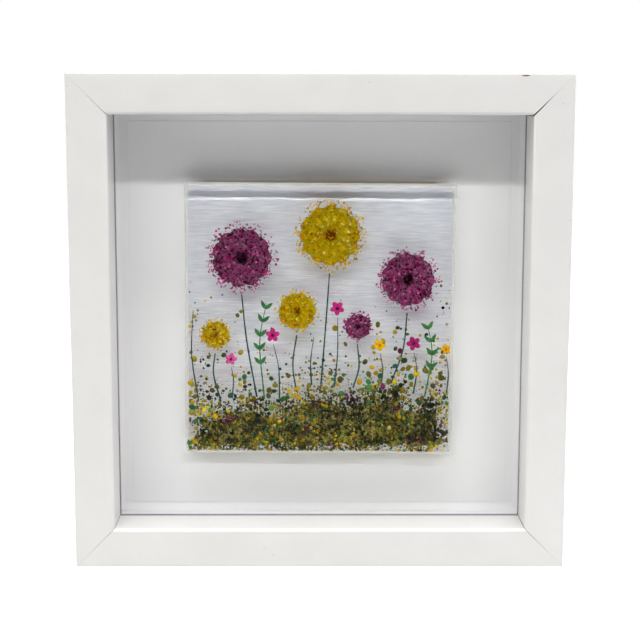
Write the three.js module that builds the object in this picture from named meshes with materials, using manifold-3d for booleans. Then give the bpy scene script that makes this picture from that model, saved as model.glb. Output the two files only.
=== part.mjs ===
// A white box frame with a square panel of fused glass standing inside it.
// Millimetres. The front faces -Y, +Z is up, and the origin is under the middle of the frame.
import * as THREE from "three";
import { mergeVertices } from "three/addons/utils/BufferGeometryUtils.js";
import Module from "manifold-3d";

const wasm = await Module();
wasm.setup();

// The frame and what it holds
const OUTER = 250;
const DEPTH = 60;
const RAIL_WIDTH = 20;
const LIP_DEPTH = 25;
const REBATE = 8;
const OUTER_ROUND = 0.9;
const INNER_ROUND = 1.8;
const GAP = 0.3;

const PANE_THICKNESS = 2;
const SPACER_THICKNESS = 3;
const CARD_WIDTH = 201.5;
const CARD_HEIGHT = 205.5;
const CARD_THICKNESS = 1.4;
const CARD_DEPTH = 52;
const CARD_DROP = 2;
const BOARD_THICKNESS = 3;

// Fixings on the back
const TAB_LENGTH = 15;
const TAB_WIDTH = 7;
const TAB_THICKNESS = 0.6;
const TAB_SPREAD = 62;
const HANGER_LENGTH = 46;
const HANGER_FOOT = 8;
const HANGER_HEIGHT = 9;
const HANGER_SHEET = 0.7;
const HANGER_RISE = 1.7;
const HANGER_DROP = 14;
const HANGER_TEETH = 7;
const TOOTH_DEPTH = 2.4;
const TOOTH_MARGIN = 1;
const RIVET_RADIUS = 2.2;
const RIVET_HEIGHT = 0.9;

// The glass panel: its middle is PANEL_MIDDLE above the base, and it hangs slightly turned
const PANEL_WIDTH = 142;
const PANEL_HEIGHT = 144;
const PANEL_THICKNESS = 6;
const PANEL_DEPTH = 40;
const PANEL_MIDDLE = 122;
const PANEL_TURN = THREE.MathUtils.degToRad(0.33);
const PANEL_CORNER = 2.4;
const PANEL_ROUND = 2;
const PAD_SIDE = 16;
const PAD_PLACES = [
  [-41, 34],
  [46, 24],
  [-50, -57],
  [50, -57],
];

// Glass fused to the panel's face. Places are [x, z] from the panel's middle.
const THREAD_RADIUS = 0.45;
const THREAD_SIDES = 6;
const STEM_STEPS = 10;
const GRASS_STEPS = 6;
const BLOOMS = [
  { name: "bloom_magenta_left", at: [-41, 33], radius: 18.5, petals: 14, colour: "magenta" },
  { name: "bloom_yellow_top", at: [5, 45], radius: 19, petals: 15, colour: "yellow" },
  { name: "bloom_magenta_right", at: [46, 22], radius: 17, petals: 13, colour: "magenta" },
  { name: "bloom_yellow_middle", at: [-12, 5], radius: 12, petals: 11, colour: "yellow" },
  { name: "bloom_magenta_small", at: [20, -3], radius: 8.5, petals: 9, colour: "magenta" },
  { name: "bloom_yellow_small", at: [-55, -8], radius: 9, petals: 9, colour: "yellow" },
];
const BLOSSOMS = [
  { name: "blossom_magenta_1", at: [-24.5, -8], radius: 4, colour: "magenta" },
  { name: "blossom_yellow_1", at: [32, -13], radius: 3.5, colour: "yellow" },
  { name: "blossom_magenta_2", at: [50, -12], radius: 4, colour: "magenta" },
  { name: "blossom_magenta_3", at: [-46.5, -21], radius: 3.5, colour: "magenta" },
  { name: "blossom_yellow_2", at: [67, -15], radius: 3, colour: "yellow" },
  { name: "blossom_magenta_4", at: [9.5, 6.5], radius: 4, colour: "magenta" },
];
const SCALLOP = 0.06;
const RIDGE = 0.15;
const BLOOM_HEIGHT = 2.2;
const BLOOM_RIM = 0.7;
const BLOSSOM_HEIGHT = 1.5;
const BLOSSOM_RIM = 0.6;
// A thread runs from its top place through the others down to the bank.
const STEMS = [
  { name: "stem_1", path: [[-41, 13.6], [-38.5, -10], [-33, -38]] },
  { name: "stem_2", path: [[5, 25.1], [3.4, 0], [1, -38]] },
  { name: "stem_3", path: [[46, 4.1], [44.2, -15], [38, -38]] },
  { name: "stem_4", path: [[-12, -7.9], [-14, -24], [-12, -38]] },
  { name: "stem_5", path: [[20, -12.4], [21, -25], [18, -38]] },
  { name: "stem_6", path: [[-55, -17.9], [-56, -28], [-52, -38]] },
];
const GRASS = [
  { name: "grass_1", path: [[-66.5, 5], [-67.5, -18], [-64, -38]] },
  { name: "grass_2", path: [[-46.5, -25.4], [-45.4, -31], [-46, -38]] },
  { name: "grass_3", path: [[-24.3, -12.9], [-21.5, -25], [-21, -38]] },
  { name: "grass_4", path: [[-3, -9], [-4.6, -22], [-4, -38]] },
  { name: "grass_5", path: [[9.5, 1.6], [9.6, -18], [8, -38]] },
  { name: "grass_6", path: [[32.2, -17.4], [33.6, -26], [33, -38]] },
  { name: "grass_7", path: [[50, -16.9], [51.6, -26], [50, -38]] },
  { name: "grass_8", path: [[67, -18.9], [68.4, -28], [67.5, -38]] },
];
const SPRIGS = [
  { name: "sprig_left", path: [[-28, 9], [-31.5, -12], [-29, -38]], pairs: 5 },
  { name: "sprig_right", path: [[57, -2], [59.5, -18], [56, -38]], pairs: 4 },
];
const LEAF_LENGTH = 5.2;
const LEAF_WIDTH = 2;
const LEAF_LEAN = THREE.MathUtils.degToRad(38);
const LEAVES_FROM = 0.06;
const LEAVES_ALONG = 0.72;
const BANK_HALF_WIDTH = 68;
const BANK_BOTTOM = -69;
const BANK_TOP = -39.5;
const BANK_SWELL = { height: 4.5, length: 140, start: -13 };
const BANK_RIPPLE = { height: 2, length: 37, start: -12 };
const BANK_COLUMNS = 54;
const BANK_ROWS = 7;
const BANK_THICKNESS = 0.7;
const BANK_LUMP = 1;

// Where things lie along Y
const FRONT = -DEPTH / 2;
const HALF = OUTER / 2;
const OPENING = OUTER - 2 * RAIL_WIDTH;
const POCKET = OPENING + 2 * REBATE;
const PANE_FRONT = FRONT + LIP_DEPTH + GAP;
const SPACER_FRONT = PANE_FRONT + PANE_THICKNESS + GAP;
const CARD_FRONT = FRONT + CARD_DEPTH;
const BOARD_FRONT = CARD_FRONT + CARD_THICKNESS + GAP;
const BOARD_BACK = BOARD_FRONT + BOARD_THICKNESS;
const FIXING_FRONT = BOARD_BACK + GAP;

const material = (color, roughness, metalness = 0, more = {}) =>
  new THREE.MeshStandardMaterial({ color, roughness, metalness, ...more });
const clear = { transparent: true, opacity: 0.25 };
const MATERIALS = {
  foil: material(0xe6e6e3, 0.45),
  pane: material(0xeef5f2, 0.05, 0, clear),
  liner: material(0xe9eaec, 0.8),
  hardboard: material(0x7a5a3c, 0.75),
  steel: material(0xb4b7ba, 0.35, 1),
  foam: material(0xf0f0ee, 0.9),
  clearGlass: material(0xe2efeb, 0.08, 0, clear),
  yellow: material(0xd8ba10, 0.25),
  magenta: material(0x8a1f60, 0.25),
  thread: material(0x1f4a48, 0.25),
  leaf: material(0x3f7a45, 0.25),
  meadow: material(0x6b6a2a, 0.3),
};

function meshOf(name, geometry, finish) {
  const mesh = new THREE.Mesh(geometry, MATERIALS[finish]);
  mesh.name = name;
  return mesh;
}

// Turns a shape drawn in X and Y into a slab that stands in X and Z, from its front face at y = 0 back.
function standing(shape, thickness, options = {}) {
  const geometry = new THREE.ExtrudeGeometry(shape, {
    depth: thickness,
    bevelEnabled: false,
    ...options,
  });
  return geometry.rotateX(Math.PI / 2).translate(0, thickness, 0);
}

function rectangle(width, height) {
  return new THREE.Shape([
    new THREE.Vector2(-width / 2, -height / 2),
    new THREE.Vector2(width / 2, -height / 2),
    new THREE.Vector2(width / 2, height / 2),
    new THREE.Vector2(-width / 2, height / 2),
  ]);
}

function roundedRectangle(width, height, radius) {
  const x = width / 2 - radius;
  const y = height / 2 - radius;
  const shape = new THREE.Shape();
  shape.absarc(x, -y, radius, -Math.PI / 2, 0, false);
  shape.absarc(x, y, radius, 0, Math.PI / 2, false);
  shape.absarc(-x, y, radius, Math.PI / 2, Math.PI, false);
  shape.absarc(-x, -y, radius, Math.PI, 1.5 * Math.PI, false);
  return shape;
}

function slab(name, width, height, thickness, front, middle, finish) {
  const mesh = meshOf(name, standing(rectangle(width, height), thickness), finish);
  mesh.position.set(0, front, middle);
  return mesh;
}

// The moulding's section: x is the distance inwards from the outer face, y the distance from the front.
function railSection() {
  const shape = new THREE.Shape();
  shape.moveTo(0, DEPTH);
  shape.lineTo(0, OUTER_ROUND);
  shape.absarc(OUTER_ROUND, OUTER_ROUND, OUTER_ROUND, Math.PI, 1.5 * Math.PI, false);
  const inner = RAIL_WIDTH - INNER_ROUND;
  shape.absarc(inner, INNER_ROUND, INNER_ROUND, 1.5 * Math.PI, 2 * Math.PI, false);
  shape.lineTo(RAIL_WIDTH, LIP_DEPTH);
  shape.lineTo(RAIL_WIDTH - REBATE, LIP_DEPTH);
  shape.lineTo(RAIL_WIDTH - REBATE, DEPTH);
  return shape;
}

// A rail lies along X under the frame's middle, and both its ends are cut at 45 degrees.
function railGeometry() {
  const geometry = new THREE.ExtrudeGeometry(railSection(), {
    depth: 1,
    steps: 1,
    bevelEnabled: false,
    curveSegments: 5,
  });
  const cut = GAP / Math.SQRT2;
  const place = geometry.getAttribute("position");
  for (let i = 0; i < place.count; i++) {
    const inwards = place.getX(i);
    const end = 1 - 2 * place.getZ(i);
    const x = end * (HALF - inwards - cut);
    place.setXYZ(i, x, FRONT + place.getY(i), inwards - HALF);
  }
  return geometry;
}

function frameRails() {
  const rails = new THREE.Group();
  rails.position.z = HALF;
  ["bottom", "left", "top", "right"].forEach((side, turn) => {
    const rail = meshOf(`frame_rail_${side}`, railGeometry(), "foil");
    rail.rotation.y = (turn * Math.PI) / 2;
    rails.add(rail);
  });
  return rails;
}

function spacers() {
  const group = new THREE.Group();
  group.position.z = HALF;
  const outside = POCKET - 2 * GAP;
  const between = outside - 2 * SPACER_THICKNESS - 2 * GAP;
  const depth = BOARD_FRONT - GAP - SPACER_FRONT;
  const offset = (outside - SPACER_THICKNESS) / 2;
  [1, -1].forEach((side) => {
    const level = new THREE.BoxGeometry(outside, depth, SPACER_THICKNESS);
    const upright = new THREE.BoxGeometry(SPACER_THICKNESS, depth, between);
    const flat = meshOf(side > 0 ? "spacer_top" : "spacer_bottom", level, "liner");
    const wall = meshOf(side > 0 ? "spacer_right" : "spacer_left", upright, "liner");
    flat.position.set(0, SPACER_FRONT + depth / 2, side * offset);
    wall.position.set(side * offset, SPACER_FRONT + depth / 2, 0);
    group.add(flat, wall);
  });
  return group;
}

function flexTabs() {
  const group = new THREE.Group();
  group.position.z = HALF;
  const tip = TAB_WIDTH / 2;
  const shape = new THREE.Shape();
  shape.moveTo(tip, 0);
  shape.lineTo(tip, TAB_LENGTH - tip);
  shape.absarc(0, TAB_LENGTH - tip, tip, 0, Math.PI, false);
  shape.lineTo(-tip, 0);
  const outline = standing(shape, TAB_THICKNESS, { curveSegments: 6 });
  let number = 1;
  for (let turn = 0; turn < 4; turn++) {
    for (const along of [-TAB_SPREAD, TAB_SPREAD]) {
      const tab = meshOf(`flex_tab_${number++}`, outline, "steel");
      tab.position.set(along, FIXING_FRONT, GAP - POCKET / 2);
      const rail = new THREE.Group();
      rail.rotation.y = (turn * Math.PI) / 2;
      rail.add(tab);
      group.add(rail);
    }
  }
  return group;
}

function solidOf(geometry) {
  const bare = geometry.clone();
  bare.deleteAttribute("normal");
  bare.deleteAttribute("uv");
  const merged = mergeVertices(bare, 1e-4);
  return new wasm.Manifold(
    new wasm.Mesh({
      numProp: 3,
      vertProperties: merged.getAttribute("position").array,
      triVerts: new Uint32Array(merged.index.array),
    }),
  );
}

function geometryOf(solid) {
  const mesh = solid.getMesh();
  const geometry = new THREE.BufferGeometry();
  geometry.setAttribute("position", new THREE.BufferAttribute(mesh.vertProperties, 3));
  geometry.setIndex(new THREE.BufferAttribute(mesh.triVerts, 1));
  geometry.computeVertexNormals();
  return geometry;
}

// The hanger is a bent strip, raised between its two feet, with teeth cut up into its lower edge.
function hangerStrip() {
  const half = HANGER_LENGTH / 2;
  const foot = half - HANGER_FOOT;
  const bridge = foot - HANGER_RISE;
  const outside = HANGER_RISE + HANGER_SHEET;
  const section = new THREE.Shape(
    [
      [-half, 0],
      [-foot, 0],
      [-bridge, HANGER_RISE],
      [bridge, HANGER_RISE],
      [foot, 0],
      [half, 0],
      [half, HANGER_SHEET],
      [foot, HANGER_SHEET],
      [bridge, outside],
      [-bridge, outside],
      [-foot, HANGER_SHEET],
      [-half, HANGER_SHEET],
    ].map(([x, y]) => new THREE.Vector2(x, y)),
  );
  return new THREE.ExtrudeGeometry(section, { depth: HANGER_HEIGHT, bevelEnabled: false });
}

function hangerTeeth() {
  const reach = HANGER_LENGTH / 2 - HANGER_FOOT - HANGER_RISE - TOOTH_MARGIN;
  const pitch = (2 * reach) / HANGER_TEETH;
  const points = [new THREE.Vector2(reach, -1)];
  points.push(new THREE.Vector2(reach, 0));
  for (let i = 0; i < HANGER_TEETH; i++) {
    const x = reach - i * pitch;
    points.push(new THREE.Vector2(x - pitch / 2, TOOTH_DEPTH));
    points.push(new THREE.Vector2(x - pitch, 0));
  }
  points.push(new THREE.Vector2(-reach, -1));
  return standing(new THREE.Shape(points), 2 * HANGER_RISE).translate(0, HANGER_SHEET / 2, 0);
}

function hanger() {
  const group = new THREE.Group();
  group.position.set(0, FIXING_FRONT, HALF + POCKET / 2 - HANGER_DROP - HANGER_HEIGHT);
  const strip = geometryOf(solidOf(hangerStrip()).subtract(solidOf(hangerTeeth())));
  group.add(meshOf("sawtooth_hanger", strip, "steel"));
  const head = new THREE.LatheGeometry(
    [
      new THREE.Vector2(0, 0),
      new THREE.Vector2(RIVET_RADIUS, 0),
      new THREE.Vector2(0.85 * RIVET_RADIUS, 0.7 * RIVET_HEIGHT),
      new THREE.Vector2(0, RIVET_HEIGHT),
    ],
    12,
  );
  [-1, 1].forEach((side) => {
    const name = side < 0 ? "hanger_rivet_left" : "hanger_rivet_right";
    const rivet = meshOf(name, head, "steel");
    const x = side * (HANGER_LENGTH - HANGER_FOOT) * 0.5;
    rivet.position.set(x, HANGER_SHEET + GAP, HANGER_HEIGHT / 2);
    group.add(rivet);
  });
  return group;
}

function glassPanel() {
  const core = PANEL_THICKNESS - 2 * PANEL_ROUND;
  const shape = roundedRectangle(PANEL_WIDTH, PANEL_HEIGHT, PANEL_CORNER);
  const geometry = new THREE.ExtrudeGeometry(shape, {
    depth: core,
    curveSegments: 4,
    bevelThickness: PANEL_ROUND,
    bevelSize: PANEL_ROUND,
    bevelOffset: -PANEL_ROUND,
    bevelSegments: 4,
  });
  geometry.rotateX(Math.PI / 2).translate(0, PANEL_THICKNESS - PANEL_ROUND, 0);
  return meshOf("fused_glass_panel", geometry, "clearGlass");
}

function panelPads() {
  const depth = CARD_FRONT - (FRONT + PANEL_DEPTH + PANEL_THICKNESS) - 2 * GAP;
  return PAD_PLACES.map(([x, z], i) => {
    const box = new THREE.BoxGeometry(PAD_SIDE, depth, PAD_SIDE);
    const pad = meshOf(`panel_pad_${i + 1}`, box, "foam");
    pad.position.set(x, PANEL_THICKNESS + GAP + depth / 2, z);
    return pad;
  });
}

// Builds a closed solid from a raised face and its flat back.
// points are [x, height, z], triangles join them, and rim lists the border's points in order.
function reliefGeometry(points, triangles, rim) {
  const positions = [];
  for (const [x, height, z] of points) positions.push(x, -GAP - height, z);
  const backOf = new Map();
  for (const index of rim) {
    backOf.set(index, positions.length / 3);
    positions.push(points[index][0], -GAP, points[index][2]);
  }
  const indices = triangles.flat();
  rim.forEach((index, i) => {
    const next = rim[(i + 1) % rim.length];
    indices.push(index, backOf.get(index), backOf.get(next));
    indices.push(index, backOf.get(next), next);
  });
  const outline = rim.map((index) => new THREE.Vector2(points[index][0], points[index][2]));
  for (const [a, b, c] of THREE.ShapeUtils.triangulateShape(outline, [])) {
    indices.push(backOf.get(rim[c]), backOf.get(rim[b]), backOf.get(rim[a]));
  }
  const geometry = new THREE.BufferGeometry();
  geometry.setAttribute("position", new THREE.Float32BufferAttribute(positions, 3));
  geometry.setIndex(indices);
  geometry.computeVertexNormals();
  return geometry;
}

// A round flower head: its rim is scalloped, and ridges of petals run round it in rings.
function rosette({ radius, petals, rings, height, rim }) {
  const sectors = petals * 2;
  const points = [[0, height, 0]];
  const triangles = [];
  for (let ring = 1; ring <= rings; ring++) {
    const share = ring / rings;
    for (let i = 0; i < sectors; i++) {
      const angle = (2 * Math.PI * i) / sectors;
      const ridge = Math.cos(petals * angle + ring * Math.PI);
      const r = radius * share * (1 - SCALLOP + SCALLOP * ridge * share);
      const dome = Math.sqrt(1 - share * share);
      const h = rim + (height - rim) * dome * (1 - RIDGE + RIDGE * ridge);
      points.push([r * Math.cos(angle), h, r * Math.sin(angle)]);
    }
  }
  const at = (ring, i) => 1 + (ring - 1) * sectors + (i % sectors);
  for (let i = 0; i < sectors; i++) {
    triangles.push([0, at(1, i), at(1, i + 1)]);
    for (let ring = 1; ring < rings; ring++) {
      triangles.push([at(ring, i), at(ring + 1, i), at(ring + 1, i + 1)]);
      triangles.push([at(ring, i), at(ring + 1, i + 1), at(ring, i + 1)]);
    }
  }
  const border = Array.from({ length: sectors }, (_, i) => at(rings, i));
  return reliefGeometry(points, triangles, border);
}

function flowerHeads() {
  const heads = BLOOMS.map(({ name, at, radius, petals, colour }) => {
    const rings = radius > 10 ? 6 : 4;
    const shape = rosette({ radius, petals, rings, height: BLOOM_HEIGHT, rim: BLOOM_RIM });
    return { name, at, shape, colour };
  });
  const small = BLOSSOMS.map(({ name, at, radius, colour }) => {
    const size = { height: BLOSSOM_HEIGHT, rim: BLOSSOM_RIM };
    const shape = rosette({ radius, petals: 5, rings: 3, ...size });
    return { name, at, shape, colour };
  });
  return [...heads, ...small].map(({ name, at, shape, colour }) => {
    const mesh = meshOf(name, shape, colour);
    mesh.position.set(at[0], 0, at[1]);
    return mesh;
  });
}

const wave = ({ height, length, start }, x) =>
  height * Math.sin((2 * Math.PI * (x - start)) / length);

// The bank's upper edge rises and falls like a hedge.
const bankTop = (x) => BANK_TOP + wave(BANK_SWELL, x) + wave(BANK_RIPPLE, x);

function lump(column, row) {
  const value = Math.sin(column * 12.9898 + row * 78.233) * 43758.5453;
  return value - Math.floor(value);
}

function meadowBank() {
  const points = [];
  const triangles = [];
  const at = (column, row) => column * (BANK_ROWS + 1) + row;
  for (let column = 0; column <= BANK_COLUMNS; column++) {
    const x = BANK_HALF_WIDTH * ((2 * column) / BANK_COLUMNS - 1);
    for (let row = 0; row <= BANK_ROWS; row++) {
      const z = BANK_BOTTOM + ((bankTop(x) - BANK_BOTTOM) * row) / BANK_ROWS;
      points.push([x, BANK_THICKNESS + BANK_LUMP * lump(column, row), z]);
    }
  }
  for (let column = 0; column < BANK_COLUMNS; column++) {
    for (let row = 0; row < BANK_ROWS; row++) {
      const [a, b] = [at(column, row), at(column + 1, row)];
      triangles.push([a, b, b + 1], [a, b + 1, a + 1]);
    }
  }
  const columns = Array.from({ length: BANK_COLUMNS }, (_, i) => i);
  const rows = Array.from({ length: BANK_ROWS }, (_, i) => i);
  const border = [
    ...columns.map((i) => at(i, 0)),
    ...rows.map((i) => at(BANK_COLUMNS, i)),
    ...columns.map((i) => at(BANK_COLUMNS - i, BANK_ROWS)),
    ...rows.map((i) => at(0, BANK_ROWS - i)),
  ];
  return meshOf("meadow_bank", reliefGeometry(points, triangles, border), "meadow");
}

// A path's lowest place is moved to just above the bank.
function threadCurve(path) {
  const y = -GAP - THREAD_RADIUS;
  const points = path.map(([x, z], i) => {
    const foot = i === path.length - 1;
    return new THREE.Vector3(x, y, foot ? bankTop(x) + 2 * GAP + THREAD_RADIUS : z);
  });
  return new THREE.CatmullRomCurve3(points);
}

function threadGeometry(path, steps) {
  const section = new THREE.Shape();
  section.absarc(0, 0, THREAD_RADIUS, 0, 2 * Math.PI, false);
  return new THREE.ExtrudeGeometry(section, {
    extrudePath: threadCurve(path),
    steps,
    curveSegments: THREAD_SIDES / 2,
  });
}

function threads() {
  const stems = STEMS.map(({ name, path }) => meshOf(name, threadGeometry(path, STEM_STEPS), "thread"));
  const grass = GRASS.map(({ name, path }) => meshOf(name, threadGeometry(path, GRASS_STEPS), "thread"));
  return [...stems, ...grass];
}

// A leaf is a small lens whose inner tip lies in the thread.
function leafGeometry(place, direction) {
  const leaf = new THREE.SphereGeometry(0.5, 6, 4);
  leaf.scale(LEAF_LENGTH, 2 * THREAD_RADIUS, LEAF_WIDTH);
  leaf.translate(LEAF_LENGTH / 2 - THREAD_RADIUS / 2, 0, 0);
  leaf.rotateY(-direction);
  return leaf.translate(place.x, place.y, place.z);
}

function sprigs() {
  return SPRIGS.map(({ name, path, pairs }) => {
    const curve = threadCurve(path);
    let solid = solidOf(threadGeometry(path, STEM_STEPS));
    for (let pair = 0; pair < pairs; pair++) {
      const share = LEAVES_FROM + (LEAVES_ALONG * pair) / pairs;
      const along = curve.getTangentAt(share).negate();
      const upwards = Math.atan2(along.z, along.x);
      const place = curve.getPointAt(share);
      for (const side of [-1, 1]) {
        solid = solid.add(solidOf(leafGeometry(place, upwards + side * LEAF_LEAN)));
      }
    }
    return meshOf(name, geometryOf(solid), "leaf");
  });
}

function panelAndArtwork() {
  const group = new THREE.Group();
  group.position.set(0, FRONT + PANEL_DEPTH, PANEL_MIDDLE);
  group.rotation.y = PANEL_TURN;
  group.add(glassPanel(), ...panelPads(), ...flowerHeads(), ...threads(), ...sprigs());
  group.add(meadowBank());
  return group;
}

const root = new THREE.Group();
const pane = POCKET - 4 * GAP;
root.add(frameRails(), spacers(), flexTabs(), hanger(), panelAndArtwork());
root.add(slab("cover_glass", pane, pane, PANE_THICKNESS, PANE_FRONT, HALF, "pane"));
root.add(
  slab("mount_card", CARD_WIDTH, CARD_HEIGHT, CARD_THICKNESS, CARD_FRONT, HALF - CARD_DROP, "liner"),
);
root.add(slab("backing_board", pane, pane, BOARD_THICKNESS, BOARD_FRONT, HALF, "hardboard"));

export default root;
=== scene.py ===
import math
from functools import partial
import bmesh
import bpy
import numpy as np
from mathutils import Matrix, Vector, noise


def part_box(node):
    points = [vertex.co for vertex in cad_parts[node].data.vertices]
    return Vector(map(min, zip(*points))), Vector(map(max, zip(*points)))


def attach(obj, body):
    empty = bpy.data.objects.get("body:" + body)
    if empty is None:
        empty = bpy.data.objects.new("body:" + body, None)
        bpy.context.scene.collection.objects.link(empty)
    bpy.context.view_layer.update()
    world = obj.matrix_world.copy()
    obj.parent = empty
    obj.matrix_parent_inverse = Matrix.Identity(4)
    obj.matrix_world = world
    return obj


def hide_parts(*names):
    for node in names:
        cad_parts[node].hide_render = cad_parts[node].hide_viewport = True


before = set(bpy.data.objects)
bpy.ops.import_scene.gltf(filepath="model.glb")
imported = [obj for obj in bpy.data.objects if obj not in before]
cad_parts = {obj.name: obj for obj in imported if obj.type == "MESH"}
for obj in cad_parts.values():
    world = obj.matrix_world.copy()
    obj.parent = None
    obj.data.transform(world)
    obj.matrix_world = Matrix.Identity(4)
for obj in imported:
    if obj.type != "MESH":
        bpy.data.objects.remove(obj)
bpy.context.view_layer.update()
print("frame loaded:", len(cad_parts), "nodes")

mm = 0.001
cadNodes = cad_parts


# Small helpers for node trees

def colour(hexText):  # a screen colour such as "e0c000", as linear light
    parts = [int(hexText[i : i + 2], 16) / 255 for i in (0, 2, 4)]
    linear = [c / 12.92 if c <= 0.04045 else ((c + 0.055) / 1.055) ** 2.4 for c in parts]
    return (*linear, 1.0)


def fillInputs(tree, node, inputs):  # an input is a value or another node's socket
    for socket, value in inputs.items():
        if isinstance(value, bpy.types.NodeSocket):
            tree.links.new(value, node.inputs[socket])
        else:
            node.inputs[socket].default_value = value


def addNode(tree, kind, inputs=None, **settings):
    node = tree.nodes.new(kind)
    for name, value in settings.items():
        setattr(node, name, value)
    fillInputs(tree, node, inputs or {})
    return node


def newTree(name, kind, inputs, outputs):
    tree = bpy.data.node_groups.new(name, kind)
    for label, socketKind, value in inputs:
        socket = tree.interface.new_socket(label, in_out="INPUT", socket_type=socketKind)
        if value is not None:
            socket.default_value = value
    for label, socketKind in outputs:
        tree.interface.new_socket(label, in_out="OUTPUT", socket_type=socketKind)
    given = tree.nodes.new("NodeGroupInput").outputs
    result = tree.nodes.new("NodeGroupOutput").inputs
    return tree, given, result


def calc(tree, operation, *values):
    return addNode(tree, "ShaderNodeMath", dict(enumerate(values)), operation=operation).outputs[0]


def product(tree, *values):
    result = values[0]
    for value in values[1:]:
        result = calc(tree, "MULTIPLY", result, value)
    return result


def remap(tree, value, low, high, newLow, newHigh):
    inputs = {"Value": value, "From Min": low, "From Max": high, "To Min": newLow, "To Max": newHigh}
    return addNode(tree, "ShaderNodeMapRange", inputs).outputs[0]


def vectorMath(tree, operation, *values):
    return addNode(tree, "ShaderNodeVectorMath", dict(enumerate(values)), operation=operation).outputs[0]


def splitAxes(tree, vector):
    return addNode(tree, "ShaderNodeSeparateXYZ", {0: vector}).outputs


def joinAxes(tree, x=0.0, y=0.0, z=0.0):
    return addNode(tree, "ShaderNodeCombineXYZ", {"X": x, "Y": y, "Z": z}).outputs[0]


def noiseAt(tree, vector, scale, detail):
    inputs = {"Vector": vector, "Scale": scale, "Detail": detail}
    return addNode(tree, "ShaderNodeTexNoise", inputs).outputs


def mixColour(tree, share, first, second, blend="MIX"):
    inputs = {0: share, 6: first, 7: second}
    return addNode(tree, "ShaderNodeMix", inputs, data_type="RGBA", blend_type=blend).outputs[2]


def tinted(tree, base, tint):
    return mixColour(tree, 1.0, base, tint, "MULTIPLY")


# Shader groups that several finishes share

def buildMottle():  # soft clouding with a fine grain on top
    tree, given, result = newTree(
        "surface mottle",
        "ShaderNodeTree",
        [
            ("Vector", "NodeSocketVector", None),
            ("Coarse", "NodeSocketFloat", 40.0),
            ("Fine", "NodeSocketFloat", 1500.0),
            ("Low", "NodeSocketFloat", 0.94),
            ("High", "NodeSocketFloat", 1.0),
        ],
        [("Shade", "NodeSocketFloat"), ("Height", "NodeSocketFloat")],
    )
    large = noiseAt(tree, given["Vector"], given["Coarse"], 3.0)[0]
    small = noiseAt(tree, given["Vector"], given["Fine"], 2.0)[0]
    both = calc(tree, "ADD", large, small)
    tree.links.new(remap(tree, both, 0.75, 1.25, given["Low"], given["High"]), result["Shade"])
    tree.links.new(small, result["Height"])
    return tree


def buildSpecks():  # small round spots of dust or dirt, in only a share of the cells
    tree, given, result = newTree(
        "dust specks",
        "ShaderNodeTree",
        [
            ("Vector", "NodeSocketVector", None),
            ("Scale", "NodeSocketFloat", 150.0),
            ("Size", "NodeSocketFloat", 0.05),
            ("Share", "NodeSocketFloat", 0.1),
        ],
        [("Mask", "NodeSocketFloat")],
    )
    cells = addNode(tree, "ShaderNodeTexVoronoi", {"Vector": given["Vector"], "Scale": given["Scale"]})
    chance = addNode(tree, "ShaderNodeSeparateColor", {0: cells.outputs["Color"]})
    near = calc(tree, "LESS_THAN", cells.outputs["Distance"], given["Size"])
    chosen = calc(tree, "LESS_THAN", chance.outputs[0], given["Share"])
    tree.links.new(product(tree, near, chosen), result["Mask"])
    return tree


def buildFibres():  # short fibres pressed flat, as in fibreboard
    tree, given, result = newTree(
        "pressed fibres",
        "ShaderNodeTree",
        [
            ("Vector", "NodeSocketVector", None),
            ("Scale", "NodeSocketFloat", 400.0),
            ("Stretch", "NodeSocketVector", (1.0, 1.0, 0.25)),
        ],
        [("Shade", "NodeSocketFloat"), ("Height", "NodeSocketFloat")],
    )
    pulled = vectorMath(tree, "MULTIPLY", given["Vector"], given["Stretch"])
    turned = vectorMath(tree, "MULTIPLY", given["Vector"], (0.3, 1.0, 1.0))
    first = noiseAt(tree, pulled, given["Scale"], 5.0)[0]
    second = noiseAt(tree, turned, given["Scale"], 5.0)[0]
    both = product(tree, first, second)
    tree.links.new(remap(tree, both, 0.12, 0.4, 0.0, 1.0), result["Shade"])
    tree.links.new(both, result["Height"])
    return tree


mottleGroup = buildMottle()
speckGroup = buildSpecks()
fibreGroup = buildFibres()


def useGroup(tree, group, inputs):
    node = addNode(tree, "ShaderNodeGroup", node_tree=group)
    fillInputs(tree, node, inputs)
    return node.outputs


def mottleOn(tree, spot, coarse, fine, low):
    inputs = {"Vector": spot, "Coarse": coarse, "Fine": fine, "Low": low, "High": 1.0}
    return useGroup(tree, mottleGroup, inputs)


def specksOn(tree, spot, scale, size, share):
    inputs = {"Vector": spot, "Scale": scale, "Size": size, "Share": share}
    return useGroup(tree, speckGroup, inputs)["Mask"]


def fibresOn(tree, spot, scale, stretch):
    return useGroup(tree, fibreGroup, {"Vector": spot, "Scale": scale, "Stretch": stretch})


def newMaterial(name):
    material = bpy.data.materials.new(name)
    material.use_nodes = True
    tree = material.node_tree
    tree.nodes.clear()
    return material, tree, addNode(tree, "ShaderNodeTexCoord").outputs["Object"]


def bump(tree, height, strength, distance):
    inputs = {"Height": height, "Strength": strength, "Distance": distance}
    return addNode(tree, "ShaderNodeBump", inputs).outputs[0]


def attribute(tree, name):
    return addNode(tree, "ShaderNodeAttribute", attribute_name=name).outputs["Fac"]


def finishSurface(tree, inputs):
    shader = addNode(tree, "ShaderNodeBsdfPrincipled", inputs)
    addNode(tree, "ShaderNodeOutputMaterial", {"Surface": shader.outputs[0]})


# Finishes of the frame and its back

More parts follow.
